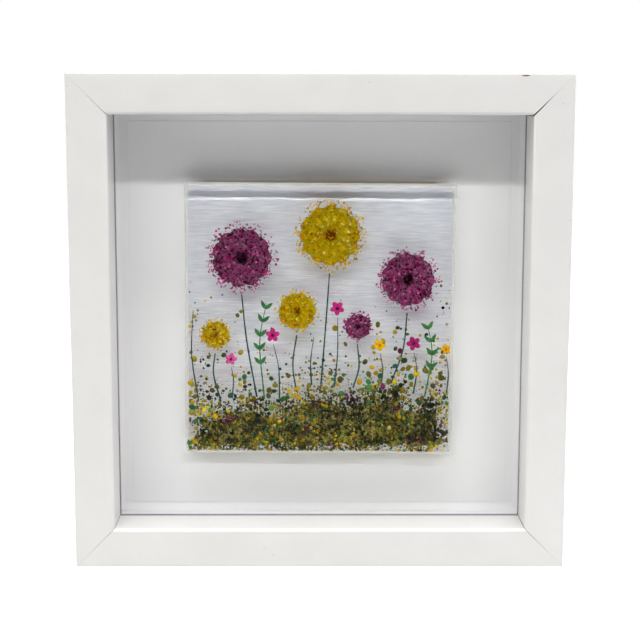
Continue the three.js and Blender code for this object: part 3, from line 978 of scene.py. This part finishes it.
def buildDrops():  # a small flower of smooth glass drops round a middle one
    look = dropLook
    tree, given, result = newTree(
        "flower of drops",
        "GeometryNodeTree",
        [
            ("Geometry", "NodeSocketGeometry", None),
            ("Radius", "NodeSocketFloat", 0.004),
            ("Petals", "NodeSocketInt", 5),
            ("Height", "NodeSocketFloat", 0.0014),
            ("Turn", "NodeSocketFloat", 0.0),
            ("Pick", "NodeSocketFloat", 0.5),
            ("Material", "NodeSocketMaterial", None),
        ],
        [("Geometry", "NodeSocketGeometry")],
    )
    angle = product(tree, geoNode(tree, "InputIndex"), 2 * math.pi)
    angle = calc(tree, "ADD", calc(tree, "DIVIDE", angle, given["Petals"]), given["Turn"])
    out = product(tree, given["Radius"], look["petalOut"])
    x = product(tree, calc(tree, "COSINE", angle), out)
    z = product(tree, calc(tree, "SINE", angle), out)
    spots = geoNode(tree, "Points", {"Count": given["Petals"], "Position": joinAxes(tree, x, z=z)})
    spots = store(tree, spots, "pick", given["Pick"])
    spots = store(tree, spots, "tone", randomValue(tree, 0.8, 1.0, 4))
    drop = geoNode(tree, "MeshIcoSphere", {"Radius": 1.0, "Subdivisions": 4})
    length = product(tree, given["Radius"], look["petalLength"])
    width = product(tree, given["Radius"], look["petalWidth"])
    scale = joinAxes(tree, length, given["Height"], width)
    turn = joinAxes(tree, y=product(tree, angle, -1.0))
    petals = {"Points": spots, "Instance": drop, "Rotation": turn, "Scale": scale}
    petals = geoNode(tree, "InstanceOnPoints", petals)
    small = product(tree, given["Radius"], look["middle"])
    middleSize = joinAxes(tree, small, product(tree, given["Height"], look["middleHeight"]), small)
    middle = geoNode(tree, "Transform", {"Geometry": drop, "Scale": middleSize})
    middle = store(tree, store(tree, middle, "heart", 1.0), "tone", 1.0)
    solid = geoNode(tree, "RealizeInstances", {"Geometry": joinParts(tree, petals, middle)})
    solid = landOnFace(tree, solid)
    solid = geoNode(tree, "SetShadeSmooth", {"Geometry": solid})
    solid = geoNode(tree, "SetMaterial", {"Geometry": solid, "Material": given["Material"]})
    tree.links.new(solid, result["Geometry"])
    return tree


grainTree = buildGrains()
threadTree = buildThread()
dropTree = buildDrops()


# The panel of clear fused glass

panelLook = {
    "width": 142.0 * mm,
    "height": 144.0 * mm,
    "thickness": 6.0 * mm,
    "corner": 1.5 * mm,
    "round": 2.0 * mm,
    "backRound": 0.7 * mm,
    "turn": math.radians(0.33),
    "cell": 1.1 * mm,
    "ripple": 0.05 * mm,
    "rippleScale": (35.0, 330.0),
}
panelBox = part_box("fused_glass_panel")
panelMiddle = (panelBox[0] + panelBox[1]) / 2
panelFace = Matrix.Translation((panelMiddle.x, panelBox[0].y, panelMiddle.z))
panelPlace = panelFace @ Matrix.Rotation(panelLook["turn"], 4, "Y")


def rimLines(half, rounding, cell):  # grid lines across the slab, close together where its rim is round
    inner = half - rounding
    count = round(2 * inner / cell)
    middle = [-inner + 2 * inner * i / count for i in range(count + 1)]
    arc = [half - rounding * (1 - math.cos(math.radians(a))) for a in (0, 8, 16, 25, 36, 48, 62, 76)]
    return [-x for x in arc] + middle + list(reversed(arc))


def insideRounded(x, z):  # the nearest place inside the outline, and its distance from the edge
    look = panelLook
    cornerX = look["width"] / 2 - look["corner"]
    cornerZ = look["height"] / 2 - look["corner"]
    overX = abs(x) - cornerX
    overZ = abs(z) - cornerZ
    if overX <= 0 or overZ <= 0:
        return x, z, min(look["width"] / 2 - abs(x), look["height"] / 2 - abs(z))
    away = math.hypot(overX, overZ)
    if away > look["corner"]:
        x = math.copysign(cornerX + overX * look["corner"] / away, x)
        z = math.copysign(cornerZ + overZ * look["corner"] / away, z)
        away = look["corner"]
    return x, z, look["corner"] - away


def makePanel():
    look = panelLook
    columns = rimLines(look["width"] / 2, look["round"], look["cell"])
    rows = rimLines(look["height"] / 2, look["round"], look["cell"])
    points = []
    edges = []
    for back in (False, True):
        for x in columns:
            for z in rows:
                px, pz, edge = insideRounded(x, z)
                edges.append(edge)
                rounding = look["backRound"] if back else look["round"]
                rest = max(0.0, rounding - edge)
                sink = rounding - math.sqrt(max(0.0, rounding**2 - rest**2))
                flow = min(1.0, edge / (3 * look["round"]))
                acrossScale, upScale = look["rippleScale"]
                spot = Vector((px * acrossScale, 0.0 if back else 9.0, pz * upScale))
                wave = noise.noise(spot) * look["ripple"] * flow
                y = look["thickness"] - sink if back else sink + wave
                points.append((px, y, pz))
    mesh = slabMesh("fused_panel", len(columns), len(rows), points, {"edge": edges})
    mesh.transform(panelPlace)
    place(makeObject("fused_panel", mesh, panelGlass), "fused_clear_glass", "fused_glass_panel")


makePanel()
print("panel made")


# Flower heads of grains

grainsByColour = {"magenta": magentaFrit, "yellow": yellowFrit}


def colourName(name):  # the colour in a flower's name
    return name.split("_")[1]


def panelSpot(name):  # a node's middle as seen from the panel's middle, and its radius
    low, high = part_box(name)
    middle = (low + high) / 2
    local = panelPlace.inverted() @ middle
    return local.x, local.z, (high.x - low.x) / 2


headLook = {
    "rings": 2,
    "scallop": 0.09,
    "spread": 0.35,
    "height": 1.5 * mm,
    "rim": 0.4 * mm,
    "sink": 0.35 * mm,
    "heart": 0.2,
    "solid": 0.85,
    "spacing": 0.86 * mm,
    "smallest": 0.4 * mm,
    "largest": 0.82 * mm,
    "flatness": 0.75,
    "lumps": 0.18 * mm,
    "fringeHeight": 0.25 * mm,
    "thinnest": 0.1 * mm,
    "petalSectors": 8,
    "ringSteps": 7,
    "petalFoot": 0.45,
    "petalBase": 0.4,
    "fringeCover": (0.8, 0.17),
    "leastCover": 0.12,
    "rimShare": (0.84, 0.14),
}
flowerHeads = {
    "bloom_magenta_left": {"petals": 11, "seed": 11},
    "bloom_yellow_top": {"petals": 12, "seed": 23},
    "bloom_magenta_right": {"petals": 11, "seed": 37},
    "bloom_yellow_middle": {"petals": 10, "seed": 41},
    "bloom_magenta_small": {"petals": 9, "seed": 53},
    "bloom_yellow_small": {"petals": 9, "seed": 67},
}


def blend(floor, share):  # from the floor at 0 up to 1 at 1
    return floor + (1 - floor) * share


def petalDome(petals, ring, side):  # 0 between two petals, 1 along a petal's middle
    turn = side * petals + 0.5 * (ring % 2)  # every other ring's petals sit between those before
    return math.sin(math.pi * (turn % 1))


def headMarks(share, dome, along, beyond):  # how thick the grains lie at a spot of the head, and their tones, with painted shade between petals and at each petal's foot
    look = headLook
    inHeart = share < look["heart"]
    most, fade = look["fringeCover"]
    start, width = look["rimShare"]
    cover = most - fade * beyond if beyond > 0 else 0.5 + 0.5 * min(1.0, 1.6 * dome)
    return {
        "cover": max(look["leastCover"], 1.0 if inHeart else cover),
        # painted shade: the tone darkens between petals and towards each petal's foot, where they overlap
        "tone": 0.7 if inHeart else min(1.0, 0.05 + dome**1.1 * (0.4 + 0.7 * along)),
        "heart": 1.0 if inHeart else 0.0,
        "rim": min(1.0, max(0.0, (share - start) / width)),
        "base": 0.0 if beyond > 0 else 1.0,
    }


def headBed(radius, petals, rings):  # a low dome of petals with a flat back, and a loose fringe round it
    look = headLook
    sectors = petals * look["petalSectors"]
    steps = rings * look["ringSteps"]
    solidSteps = round(steps * look["solid"])
    points = [(0.0, look["sink"] - look["height"], 0.0)]
    marks = [{"cover": 1.0, "tone": 0.8, "heart": 1.0, "rim": 0.0, "base": 1.0}]
    for step in range(1, steps + 2):
        share = step / steps
        outward = max(0.0, share - look["heart"]) / (1 - look["heart"]) * rings
        ring = min(int(outward), rings - 1)
        along = min(1.0, outward - ring)
        body = (look["height"] - look["rim"]) * math.sqrt(max(0.0, 1 - share * share))
        for i in range(sectors):
            dome = petalDome(petals, ring, i / sectors)
            scallop = 1 - petalDome(petals, rings - 1, i / sectors)
            r = radius * share * (1 - look["scallop"] * scallop * share)
            angle = 2 * math.pi * i / sectors
            relief = blend(look["petalFoot"], dome * blend(look["petalBase"], along))
            h = look["rim"] + body * (1.0 if share < look["heart"] else relief)
            h = look["fringeHeight"] if step > solidSteps else max(look["thinnest"], h - look["sink"])
            points.append((r * math.cos(angle), -h, r * math.sin(angle)))
            marks.append(headMarks(share, dome, along, step - solidSteps))
    faces = []
    for i in range(sectors):
        here = 1 + i
        after = 1 + (i + 1) % sectors
        faces.append((0, here, after))
        for step in range(steps):
            low = step * sectors
            faces.append((here + low, here + low + sectors, after + low + sectors, after + low))
    backs = len(points)
    last = 1 + (solidSteps - 1) * sectors
    for i in range(sectors):
        points.append((points[last + i][0], -faceGap, points[last + i][2]))
        faces.append((last + i, backs + i, backs + (i + 1) % sectors, last + (i + 1) % sectors))
    points.append((0.0, -faceGap, 0.0))
    for i in range(sectors):
        faces.append((len(points) - 1, backs + (i + 1) % sectors, backs + i))
    marks += [{"cover": 0.0, "tone": 0.0, "heart": 0.0, "rim": 0.0, "base": 1.0}] * (sectors + 1)
    mesh = meshFrom("bed", points, faces)
    for name in marks[0]:
        setAttribute(mesh, name, [mark[name] for mark in marks])
    setAttribute(mesh, "pick", [0.3] * len(points))
    for polygon in mesh.polygons:
        polygon.use_smooth = True
    return mesh


def makeHeads():
    look = headLook
    for name, own in flowerHeads.items():
        x, z, radius = panelSpot(name)
        mesh = headBed(radius - 0.5 * look["largest"], own["petals"], look["rings"])
        mesh.transform(Matrix.Translation((x, 0, z)))
        head = makeObject(name.replace("bloom", "flower"), mesh)
        runNodes(
            head,
            grainTree,
            {
                "Spacing": look["spacing"],
                "Density": 3 / look["spacing"] ** 2,
                "Smallest": look["smallest"],
                "Largest": look["largest"],
                "Flatness": look["flatness"],
                "Lumps": look["lumps"],
                "Tone Spread": look["spread"],
                "Seed": own["seed"],
                "Material": grainsByColour[colourName(name)],
            },
        )
        head.data.transform(panelPlace)
        place(head, "glass_grain_" + colourName(name), name)


makeHeads()
print("flower heads made")


# Small flowers of smooth drops

smallFlowers = {
    "blossom_magenta_1": {"turn": 0.3, "pick": 0.05},
    "blossom_yellow_1": {"turn": 1.1, "pick": 0.05},
    "blossom_magenta_2": {"turn": 0.7, "pick": 0.55},
    "blossom_magenta_3": {"turn": 0.1, "pick": 0.8},
    "blossom_yellow_2": {"turn": 0.5, "pick": 0.55},
    "blossom_magenta_4": {"turn": 0.9, "pick": 0.05},
}


def makeSmallFlowers():
    for name, own in smallFlowers.items():
        x, z, radius = panelSpot(name)
        flower = makeObject(name.replace("blossom", "drops"), meshFrom("spot", [(0, 0, 0)], []))
        runNodes(
            flower,
            dropTree,
            {
                "Radius": radius,
                "Petals": 5,
                "Height": 1.3 * mm,
                "Turn": own["turn"],
                "Pick": own["pick"],
                "Material": grainsByColour[colourName(name)],
            },
        )
        flower.data.transform(panelPlace @ Matrix.Translation((x, 0, z)))
        place(flower, "glass_grain_" + colourName(name), name)


makeSmallFlowers()
print("small flowers made")


# Glass threads: stems, grass and leafy sprigs

threadLook = {
    "top": 0.36 * mm,
    "tip": 0.18 * mm,
    "foot": 0.46 * mm,
    "unevenness": 0.14,
    "step": 0.9 * mm,
    "ringsApart": 0.9 * mm,
}


def centreLine(name):  # the path of a CAD thread, from its top down, as the middles of its rings
    spots = np.array([tuple(v.co) for v in cadNodes[name].data.vertices])
    spots = spots[np.argsort(-spots[:, 2])]
    rings = np.split(spots, np.where(np.diff(spots[:, 2]) < -threadLook["ringsApart"])[0] + 1)
    return [Vector(ring.mean(0)) for ring in rings]


def makeThread(name, path, top, glass):
    look = threadLook
    mesh = meshFrom("thread_" + name, path, [], [(i, i + 1) for i in range(len(path) - 1)])
    thread = makeObject("thread_" + name, mesh)
    runNodes(
        thread,
        threadTree,
        {
            "Start Radius": top,
            "End Radius": look["foot"],
            "Unevenness": look["unevenness"],
            "Step": look["step"],
            "Material": glass,
        },
    )
    return thread


def makeThreads():
    for name in sorted(cadNodes):
        if name.startswith(("stem_", "grass_")):
            top = threadLook["top"] if name.startswith("stem_") else threadLook["tip"]
            place(makeThread(name, centreLine(name), top, tealGlass), "glass_thread_teal", name)


makeThreads()
print("threads made")


# The bank of mixed grains, and the grains strewn loosely above it

bankLook = {
    "half": 68.5 * mm,
    "foot": -70.0 * mm,
    "cell": 1.5 * mm,
    "thinSide": 11.0 * mm,
    "thinFoot": 4.0 * mm,
    "thinTop": 15.0 * mm,
    "topHeight": -39.5,
    "topWaves": ((4.0, 13, 140), (2.8, 12, 37)),
    "border": {"side": 12.0 * mm, "top": 6.0 * mm, "footFrom": 2.0 * mm, "foot": 5.0 * mm},
    "darkest": 0.18,
    "plumAbove": 0.36,
    "leastCover": {"side": 0.3, "foot": 0.75, "head": 0.4},
    "flatness": 0.62,
    "layers": {
        "low": {
            "depth": 0.2 * mm,
            "spacing": 0.8 * mm,
            "smallest": 0.35 * mm,
            "largest": 1.0 * mm,
            "lumps": 0.16 * mm,
            "facets": 7,
            "spread": 0.9,
            "seed": 5,
        },
        "middle": {
            "depth": 0.6 * mm,
            "spacing": 1.0 * mm,
            "smallest": 0.3 * mm,
            "largest": 0.95 * mm,
            "lumps": 0.16 * mm,
            "facets": 7,
            "spread": 0.9,
            "seed": 19,
        },
        "high": {
            "depth": 0.95 * mm,
            "spacing": 2.0 * mm,
            "smallest": 0.4 * mm,
            "largest": 1.25 * mm,
            "lumps": 0.25 * mm,
            "facets": 9,
            "spread": 0.5,
            "seed": 43,
        },
    },
    "film": {
        "half": 62.0 * mm,
        "inset": 2.5 * mm,
        "below": 9.0 * mm,
        "wander": 4.0 * mm,
        "thickness": 0.28 * mm,
        "cell": 1.4 * mm,
    },
}
looseLook = {
    "fine": {
        "depth": 0.1 * mm,
        "spacing": 1.0 * mm,
        "smallest": 0.2 * mm,
        "largest": 0.85 * mm,
        "lumps": 0.15 * mm,
        "facets": 7,
        "spread": 0.6,
        "fade": 11.0 * mm,
        "sideFade": 9.0 * mm,
        "seed": 31,
    },
    "coarse": {
        "depth": 0.2 * mm,
        "spacing": 2.4 * mm,
        "smallest": 0.75 * mm,
        "largest": 1.9 * mm,
        "lumps": 0.3 * mm,
        "facets": 11,
        "spread": 0.5,
        "fade": 12.0 * mm,
        "sideFade": 11.0 * mm,
        "seed": 59,
    },
}
looseSpread = {
    "height": 62.0 * mm,
    "overlap": 2.0 * mm,
    "sunk": 14.0 * mm,
    "sinkSoft": 8.0 * mm,
    "low": 0.95,
    "climb": 2.5,
    "climbing": 0.75,
    "thin": 0.7,
}
# each pattern's own place in the noise, and its fineness
patches = {
    "clump": (2.0, 130),
    "tone": (4.0, 75),
    "heart": (21.0, 85),
    "bright": (31.0, 110),
    "looseClump": (13.0, 75),
    "filmSide": (7.0, 160),
    "filmTop": (11.0, 190),
    "filmLumps": (17.0, 420),
}


def bankTop(x):  # the bank's upper edge swells and ripples like a hedge, by waves given in mm
    height = bankLook["topHeight"]
    for rise, shift, length in bankLook["topWaves"]:
        height += rise * math.sin(2 * math.pi * (x / mm + shift) / length)
    return height * mm


def ease(value, width):  # 0 at the border, 1 from the given width inwards
    share = min(1.0, max(0.0, value / width))
    return share * share * (3 - 2 * share)


def patch(name, x, z):  # a smooth random value, about -0.6 to 0.6, in patches over the panel
    offset, fineness = patches[name]
    return noise.noise(Vector((x * fineness, offset, 1.2 * z * fineness)))


def bankTones(x, z):  # a grain's tone, and whether it takes the plum or the bright colours
    look = bankLook
    border = look["border"]
    outside = 1 - ease(look["half"] - abs(x), border["side"]) * ease(bankTop(x) - z, border["top"])
    low = 1 - ease(z - look["foot"] - border["footFrom"], border["foot"])
    bright = 0.55 * outside + 0.8 * low + 1.3 * patch("bright", x, z) - 0.15
    tone = 0.6 + 2.4 * patch("tone", x, z) + 0.4 * outside
    return {
        "tone": min(1.0, max(look["darkest"], tone)),
        "heart": 1.0 if patch("heart", x, z) > look["plumAbove"] else 0.0,
        "rim": 1.0 if bright > 0.5 else 0.0,
    }


def bedMesh(name, top, depth, coverAt):  # a sheet over the panel's face, up to the height top(x)
    look = bankLook
    columns = round(2 * look["half"] / look["cell"])
    rows = round((top(0.0) - look["foot"]) / look["cell"])
    points = []
    marks = []
    for column in range(columns + 1):
        x = look["half"] * (2 * column / columns - 1)
        for row in range(rows + 1):
            z = look["foot"] + (top(x) - look["foot"]) * row / rows
            points.append((x, -depth, z))
            marks.append({"cover": coverAt(x, z), **bankTones(x, z)})
    faces = []
    for column in range(columns):
        for row in range(rows):
            a = column * (rows + 1) + row
            faces.append((a, a + rows + 1, a + rows + 2, a + 1))
    mesh = meshFrom(name, points, faces)
    for mark in marks[0]:
        setAttribute(mesh, mark, [own[mark] for own in marks])
    return mesh


def bankCover(x, z):  # the share of grains that stay, less towards the bank's borders
    look = bankLook
    least = look["leastCover"]
    side = blend(least["side"], ease(look["half"] + 1 * mm - abs(x), look["thinSide"]))
    foot = blend(least["foot"], ease(z - look["foot"], look["thinFoot"]))
    head = blend(least["head"], ease(bankTop(x) - z, look["thinTop"]))
    clump = 0.85 + 0.9 * patch("clump", x, z)
    return min(1.0, max(0.0, side * foot * head * clump))


def looseCover(own, x, z):  # most just above the bank, fading upwards, and higher at the two sides
    spread = looseSpread
    above = max(0.0, z - bankTop(x) + spread["overlap"])
    side = bankLook["half"] - abs(x)
    low = spread["low"] * math.exp(-above / own["fade"])
    climb = math.exp(-above / (spread["climb"] * own["fade"])) * math.exp(-side / own["sideFade"])
    clump = 0.85 + 1.3 * patch("looseClump", x, z)
    inside = ease(z - bankTop(x) + spread["sunk"], spread["sinkSoft"])
    thin = spread["thin"] * (1 - ease(side, bankLook["thinSide"]))
    loose = (low + spread["climbing"] * climb) * clump * inside
    return min(1.0, max(0.0, loose, thin * clump * (1 - inside)))


def strew(name, mesh, own, *stoodFor):
    heap = makeObject(name, mesh)
    runNodes(
        heap,
        grainTree,
        {
            "Spacing": own["spacing"],
            "Density": 3 / own["spacing"] ** 2,
            "Smallest": own["smallest"],
            "Largest": own["largest"],
            "Flatness": bankLook["flatness"],
            "Lumps": own["lumps"],
            "Facets": own["facets"],
            "Tone Spread": own["spread"],
            "Seed": own["seed"],
            "Material": mixedFrit,
        },
    )
    heap.data.transform(panelPlace)
    place(heap, "glass_grain_mixed", *stoodFor)
    print(name, len(heap.data.polygons), "faces")


def makeFilm():  # where the grains lie thick they have run together into a film of glass
    look = bankLook["film"]
    low = bankLook["foot"] + look["inset"]
    wide = round(2 * look["half"] / look["cell"])
    tall = round((bankTop(0.0) - low) / look["cell"])
    points = []
    for back in (False, True):
        for i in range(wide + 1):
            for j in range(tall + 1):
                across = 2 * i / wide - 1
                x = across * look["half"]
                top = bankTop(x) - look["below"]
                z = low + (top - low) * j / tall
                x += across**3 * look["wander"] * 2 * patch("filmSide", 0.0, z)
                z += (2 * j / tall - 1) ** 3 * look["wander"] * patch("filmTop", x, 0.0)
                lumps = 0.6 + 0.8 * patch("filmLumps", x, z)
                points.append((x, -faceGap if back else -look["thickness"] * lumps, z))
    mesh = slabMesh("bank_film", wide + 1, tall + 1, points, {})
    mesh.transform(panelPlace)
    place(makeObject("bank_film", mesh, filmGlass), "glass_grain_mixed", "meadow_bank")


def makeBank():
    makeFilm()
    for name, own in bankLook["layers"].items():
        mesh = bedMesh("bed_" + name, bankTop, own["depth"], bankCover)
        strew("bank_" + name, mesh, own, "meadow_bank")


def looseTop(x):
    return bankTop(x) + looseSpread["height"]


def makeLooseGrains():
    for name, own in looseLook.items():
        mesh = bedMesh("bed_" + name, looseTop, own["depth"], partial(looseCover, own))
        strew(name + "_grains", mesh, own)


makeBank()
makeLooseGrains()
print("bank and loose grains made")


# Leafy sprigs

# paths are in mm from the panel's middle, and None stands for the bank's upper edge
sprigs = {
    "sprig_left": {"path": [(-28.0, 9.0), (-31.5, -12.0), (-29.0, None)], "pairs": 5},
    "sprig_right": {"path": [(57.0, -2.0), (59.5, -18.0), (56.0, None)], "pairs": 4},
}
leafLook = {
    "length": 5.2 * mm,
    "width": 2.0 * mm,
    "thickness": 0.86 * mm,
    "lean": math.radians(38),
    "first": 0.06,
    "run": 0.72,
    "groove": 0.16 * mm,
    "grooveWidth": 0.16,
    "fullest": 0.8,
    "outline": 0.85,
    "swell": 0.5,
    "columns": 20,
    "rows": 12,
    "lift": 0.75 * mm,
    "footAbove": 1.05 * mm,
}
pathSteps = 100


def curveThrough(points, count, fineSteps=40):  # evenly spaced spots on a smooth curve through the points
    ends = [2 * points[0] - points[1], *points, 2 * points[-1] - points[-2]]
    fine = []
    for i in range(1, len(ends) - 2):
        a, b, c, d = ends[i - 1 : i + 3]
        for step in range(fineSteps):
            t = step / fineSteps
            bend = (2 * a - 5 * b + 4 * c - d) * t**2 + (3 * b - a - 3 * c + d) * t**3
            fine.append(0.5 * (2 * b + (c - a) * t + bend))
    fine.append(points[-1])
    lengths = np.cumsum([0.0] + [(b - a).length for a, b in zip(fine, fine[1:])])
    spots = []
    for share in np.linspace(0.0, 1.0, count):
        i = min(len(fine) - 2, int(np.searchsorted(lengths, share * lengths[-1], "right")) - 1)
        rest = (share * lengths[-1] - lengths[i]) / (lengths[i + 1] - lengths[i])
        spots.append(fine[i].lerp(fine[i + 1], float(rest)))
    return spots


def leafShape(spot, direction):  # a pointed leaf with a groove along its middle
    look = leafLook
    points = []
    for side in (1, -1):
        for i in range(look["columns"] + 1):
            along = i / look["columns"]
            full = math.sin(math.pi * along ** look["fullest"])
            half = look["width"] / 2 * full ** look["outline"]
            for j in range(look["rows"] + 1):
                across = 2 * j / look["rows"] - 1
                body = look["thickness"] / 2 * math.sqrt(max(0.0, 1 - across * across))
                body *= full ** look["swell"]
                groove = look["groove"] * math.exp(-((across / look["grooveWidth"]) ** 2))
                groove *= min(1.0, 4 * along * (1 - along))
                deep = side * body - (side * groove if body > groove else 0.0)
                x = along * look["length"]
                z = across * half
                turnedX = x * math.cos(direction) - z * math.sin(direction)
                turnedZ = x * math.sin(direction) + z * math.cos(direction)
                points.append((spot.x + turnedX, spot.y - deep, spot.z + turnedZ))
    wide = look["rows"] + 1
    count = (look["columns"] + 1) * wide
    faces = []
    for i in range(look["columns"]):
        for j in range(look["rows"]):
            a = i * wide + j
            faces.append((a, a + wide, a + wide + 1, a + 1))
            faces.append((a + count, a + count + 1, a + count + wide + 1, a + count + wide))
    return points, faces


def makeSprigs():
    look = leafLook
    for name, own in sprigs.items():
        path = []
        for x, z in own["path"]:
            foot = bankTop(x * mm) + look["footAbove"]
            path.append(Vector((x * mm, -look["lift"], foot if z is None else z * mm)))
        spots = curveThrough(path, pathSteps + 1)
        points = []
        faces = []
        for pair in range(own["pairs"]):
            i = round(pathSteps * (look["first"] + look["run"] * pair / own["pairs"]))
            upwards = spots[i] - spots[i + 1]
            direction = math.atan2(upwards.z, upwards.x)
            for side in (-1, 1):
                more, moreFaces = leafShape(spots[i], direction + side * look["lean"])
                faces += [tuple(len(points) + index for index in face) for face in moreFaces]
                points += more
        leaves = meshFrom("leaves_" + name, points, faces)
        closeSeams(leaves)
        thread = makeThread(name, spots, threadLook["tip"], leafGlass)
        for mesh in (leaves, thread.data):
            mesh.transform(panelPlace)
        place(thread, "glass_thread_green", name)
        place(makeObject("leaves_" + name, leaves, leafGlass), "glass_thread_green", name)


makeSprigs()
print("sprigs made")


# The rest of the frame

def makeCard():  # only a faint step shows round the card, so its border runs on to the spacers
    look = cardLook
    low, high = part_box("mount_card")
    left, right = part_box("spacer_left")[1].x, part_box("spacer_right")[0].x
    foot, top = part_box("spacer_bottom")[1].z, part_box("spacer_top")[0].z
    columns = [left, low.x - look["slope"], low.x, high.x, high.x + look["slope"], right]
    rows = [foot, low.z - look["slope"], low.z, high.z, high.z + look["slope"], top]
    points = []
    for back in (False, True):
        for x in columns:
            for z in rows:
                raised = low.x <= x <= high.x and low.z <= z <= high.z
                front = low.y if raised else low.y + look["step"]
                points.append((x, high.y if back else front, z))
    mesh = slabMesh("card", len(columns), len(rows), points, {})
    smoothByAngle(mesh, 20)
    place(makeObject("card", mesh, whiteCard), "white_card", "mount_card")


makeCard()
dress("cover_glass", paneGlass)
dress("backing_board", hardboard)
for name in sorted(cadNodes):
    if name.startswith("spacer_"):
        dress(name, shadeGreyLiner)
    if name.startswith("panel_pad_"):
        dress(name, foam)
    if name.startswith(("sawtooth_hanger", "hanger_rivet_", "flex_tab_")):
        dress(name, zinc)
print("card, glass, spacers and back dressed")


# Floor, lights and camera

studio = {
    "floor": 6.0,
    "floorWhite": 1.0,
    "floorNear": 0.78,
    "floorFar": 0.06,
    "floorRing": (0.45, 0.8),
    "mirrored": 0.05,
    "ambient": 0.01,
    "aim": (0.0, 0.0, 0.125),
}
# power in watts, size and distance in metres, angle to the right and height above the horizon in degrees
lights = {
    "key": {"power": 16.3, "size": (1.7, 0.07), "distance": 1.7, "aside": -4.0, "height": 38.2},
    "above": {"power": 36.2, "size": (1.4, 1.0), "distance": 1.7, "aside": 2.0, "height": 78.5},
    "left": {"power": 10.8, "size": (1.0, 1.0), "distance": 1.6, "aside": -80.0, "height": 15.0},
    "right": {"power": 11.9, "size": (1.0, 1.0), "distance": 1.6, "aside": 80.0, "height": 15.0},
    "behind": {"power": 25.0, "size": (1.2, 1.2), "distance": 1.8, "aside": 165.0, "height": 30.0},
}
lightTints = {"key": (1.0, 0.995, 0.985), "left": (1.0, 1.0, 0.96), "right": (0.97, 0.95, 1.0)}
camera = {
    "place": (-5.1 * mm, -782.1 * mm, 244.3 * mm),
    "yaw": 0.0067,
    "pitch": -0.1531,
    "roll": 0.0017,
    "lens": 85.5,
}


def makeFloor():
    half = studio["floor"] / 2
    corners = [(-half, -half, 0), (half, -half, 0), (half, half, 0), (-half, half, 0)]
    mesh = meshFrom("floor", corners, [(0, 1, 2, 3)])
    material, tree, spot = newMaterial("pale floor")
    ray = addNode(tree, "ShaderNodeLightPath").outputs
    away = addNode(tree, "ShaderNodeVectorMath", {0: spot}, operation="LENGTH").outputs["Value"]
    shade = remap(tree, away, *studio["floorRing"], studio["floorNear"], studio["floorFar"])
    # reflections find the floor dim, so the cover glass stays clear
    shade = product(tree, shade, remap(tree, ray["Is Glossy Ray"], 0.0, 1.0, 1.0, studio["mirrored"]))
    finishSurface(
        tree,
        {
            "Base Color": shade,
            "Roughness": 0.9,
            "Specular IOR Level": 0.0,
            "Emission Color": (1.0, 1.0, 1.0, 1.0),
            "Emission Strength": product(tree, ray["Is Camera Ray"], studio["floorWhite"]),
        },
    )
    makeObject("floor", mesh, material)


def makeLights():
    for name, own in lights.items():
        lamp = bpy.data.lights.new(name, "AREA")
        lamp.shape = "RECTANGLE"
        lamp.size, lamp.size_y = own["size"]
        lamp.energy = own["power"]
        lamp.color = lightTints.get(name, (1.0, 1.0, 1.0))
        light = bpy.data.objects.new(name, lamp)
        bpy.context.scene.collection.objects.link(light)
        aside = math.radians(own["aside"])
        height = math.radians(own["height"])
        level = math.cos(height)
        away = Vector((math.sin(aside) * level, -math.cos(aside) * level, math.sin(height)))
        light.location = Vector(studio["aim"]) + own["distance"] * away
        light.rotation_euler = away.to_track_quat("Z", "Y").to_euler()


def makeWorld():
    world = bpy.data.worlds.new("studio")
    bpy.context.scene.world = world
    world.use_nodes = True
    tree = world.node_tree
    tree.nodes.clear()
    seen = addNode(tree, "ShaderNodeLightPath").outputs["Is Camera Ray"]
    strength = remap(tree, seen, 0.0, 1.0, studio["ambient"], 1.0)
    sky = addNode(tree, "ShaderNodeBackground", {"Color": (1.0, 1.0, 1.0, 1.0), "Strength": strength})
    addNode(tree, "ShaderNodeOutputWorld", {"Surface": sky.outputs[0]})


def makeCamera():
    data = bpy.data.cameras.new("camera")
    data.sensor_width = 36.0
    data.lens = camera["lens"]
    data.clip_start = 0.01
    eye = bpy.data.objects.new("camera", data)
    bpy.context.scene.collection.objects.link(eye)
    turned = (
        Matrix.Translation(camera["place"])
        @ Matrix.Rotation(-camera["yaw"], 4, "Z")
        @ Matrix.Rotation(math.pi / 2 + camera["pitch"], 4, "X")
        @ Matrix.Rotation(camera["roll"], 4, "Z")
    )
    eye.matrix_world = turned
    bpy.context.scene.camera = eye


makeFloor()
makeLights()
makeWorld()
makeCamera()
bpy.context.scene.view_settings.view_transform = "Standard"
bpy.context.scene.cycles.transparent_max_bounces = 32
bpy.context.scene.cycles.transmission_bounces = 16
bpy.context.scene.cycles.max_bounces = 20
print("studio ready")
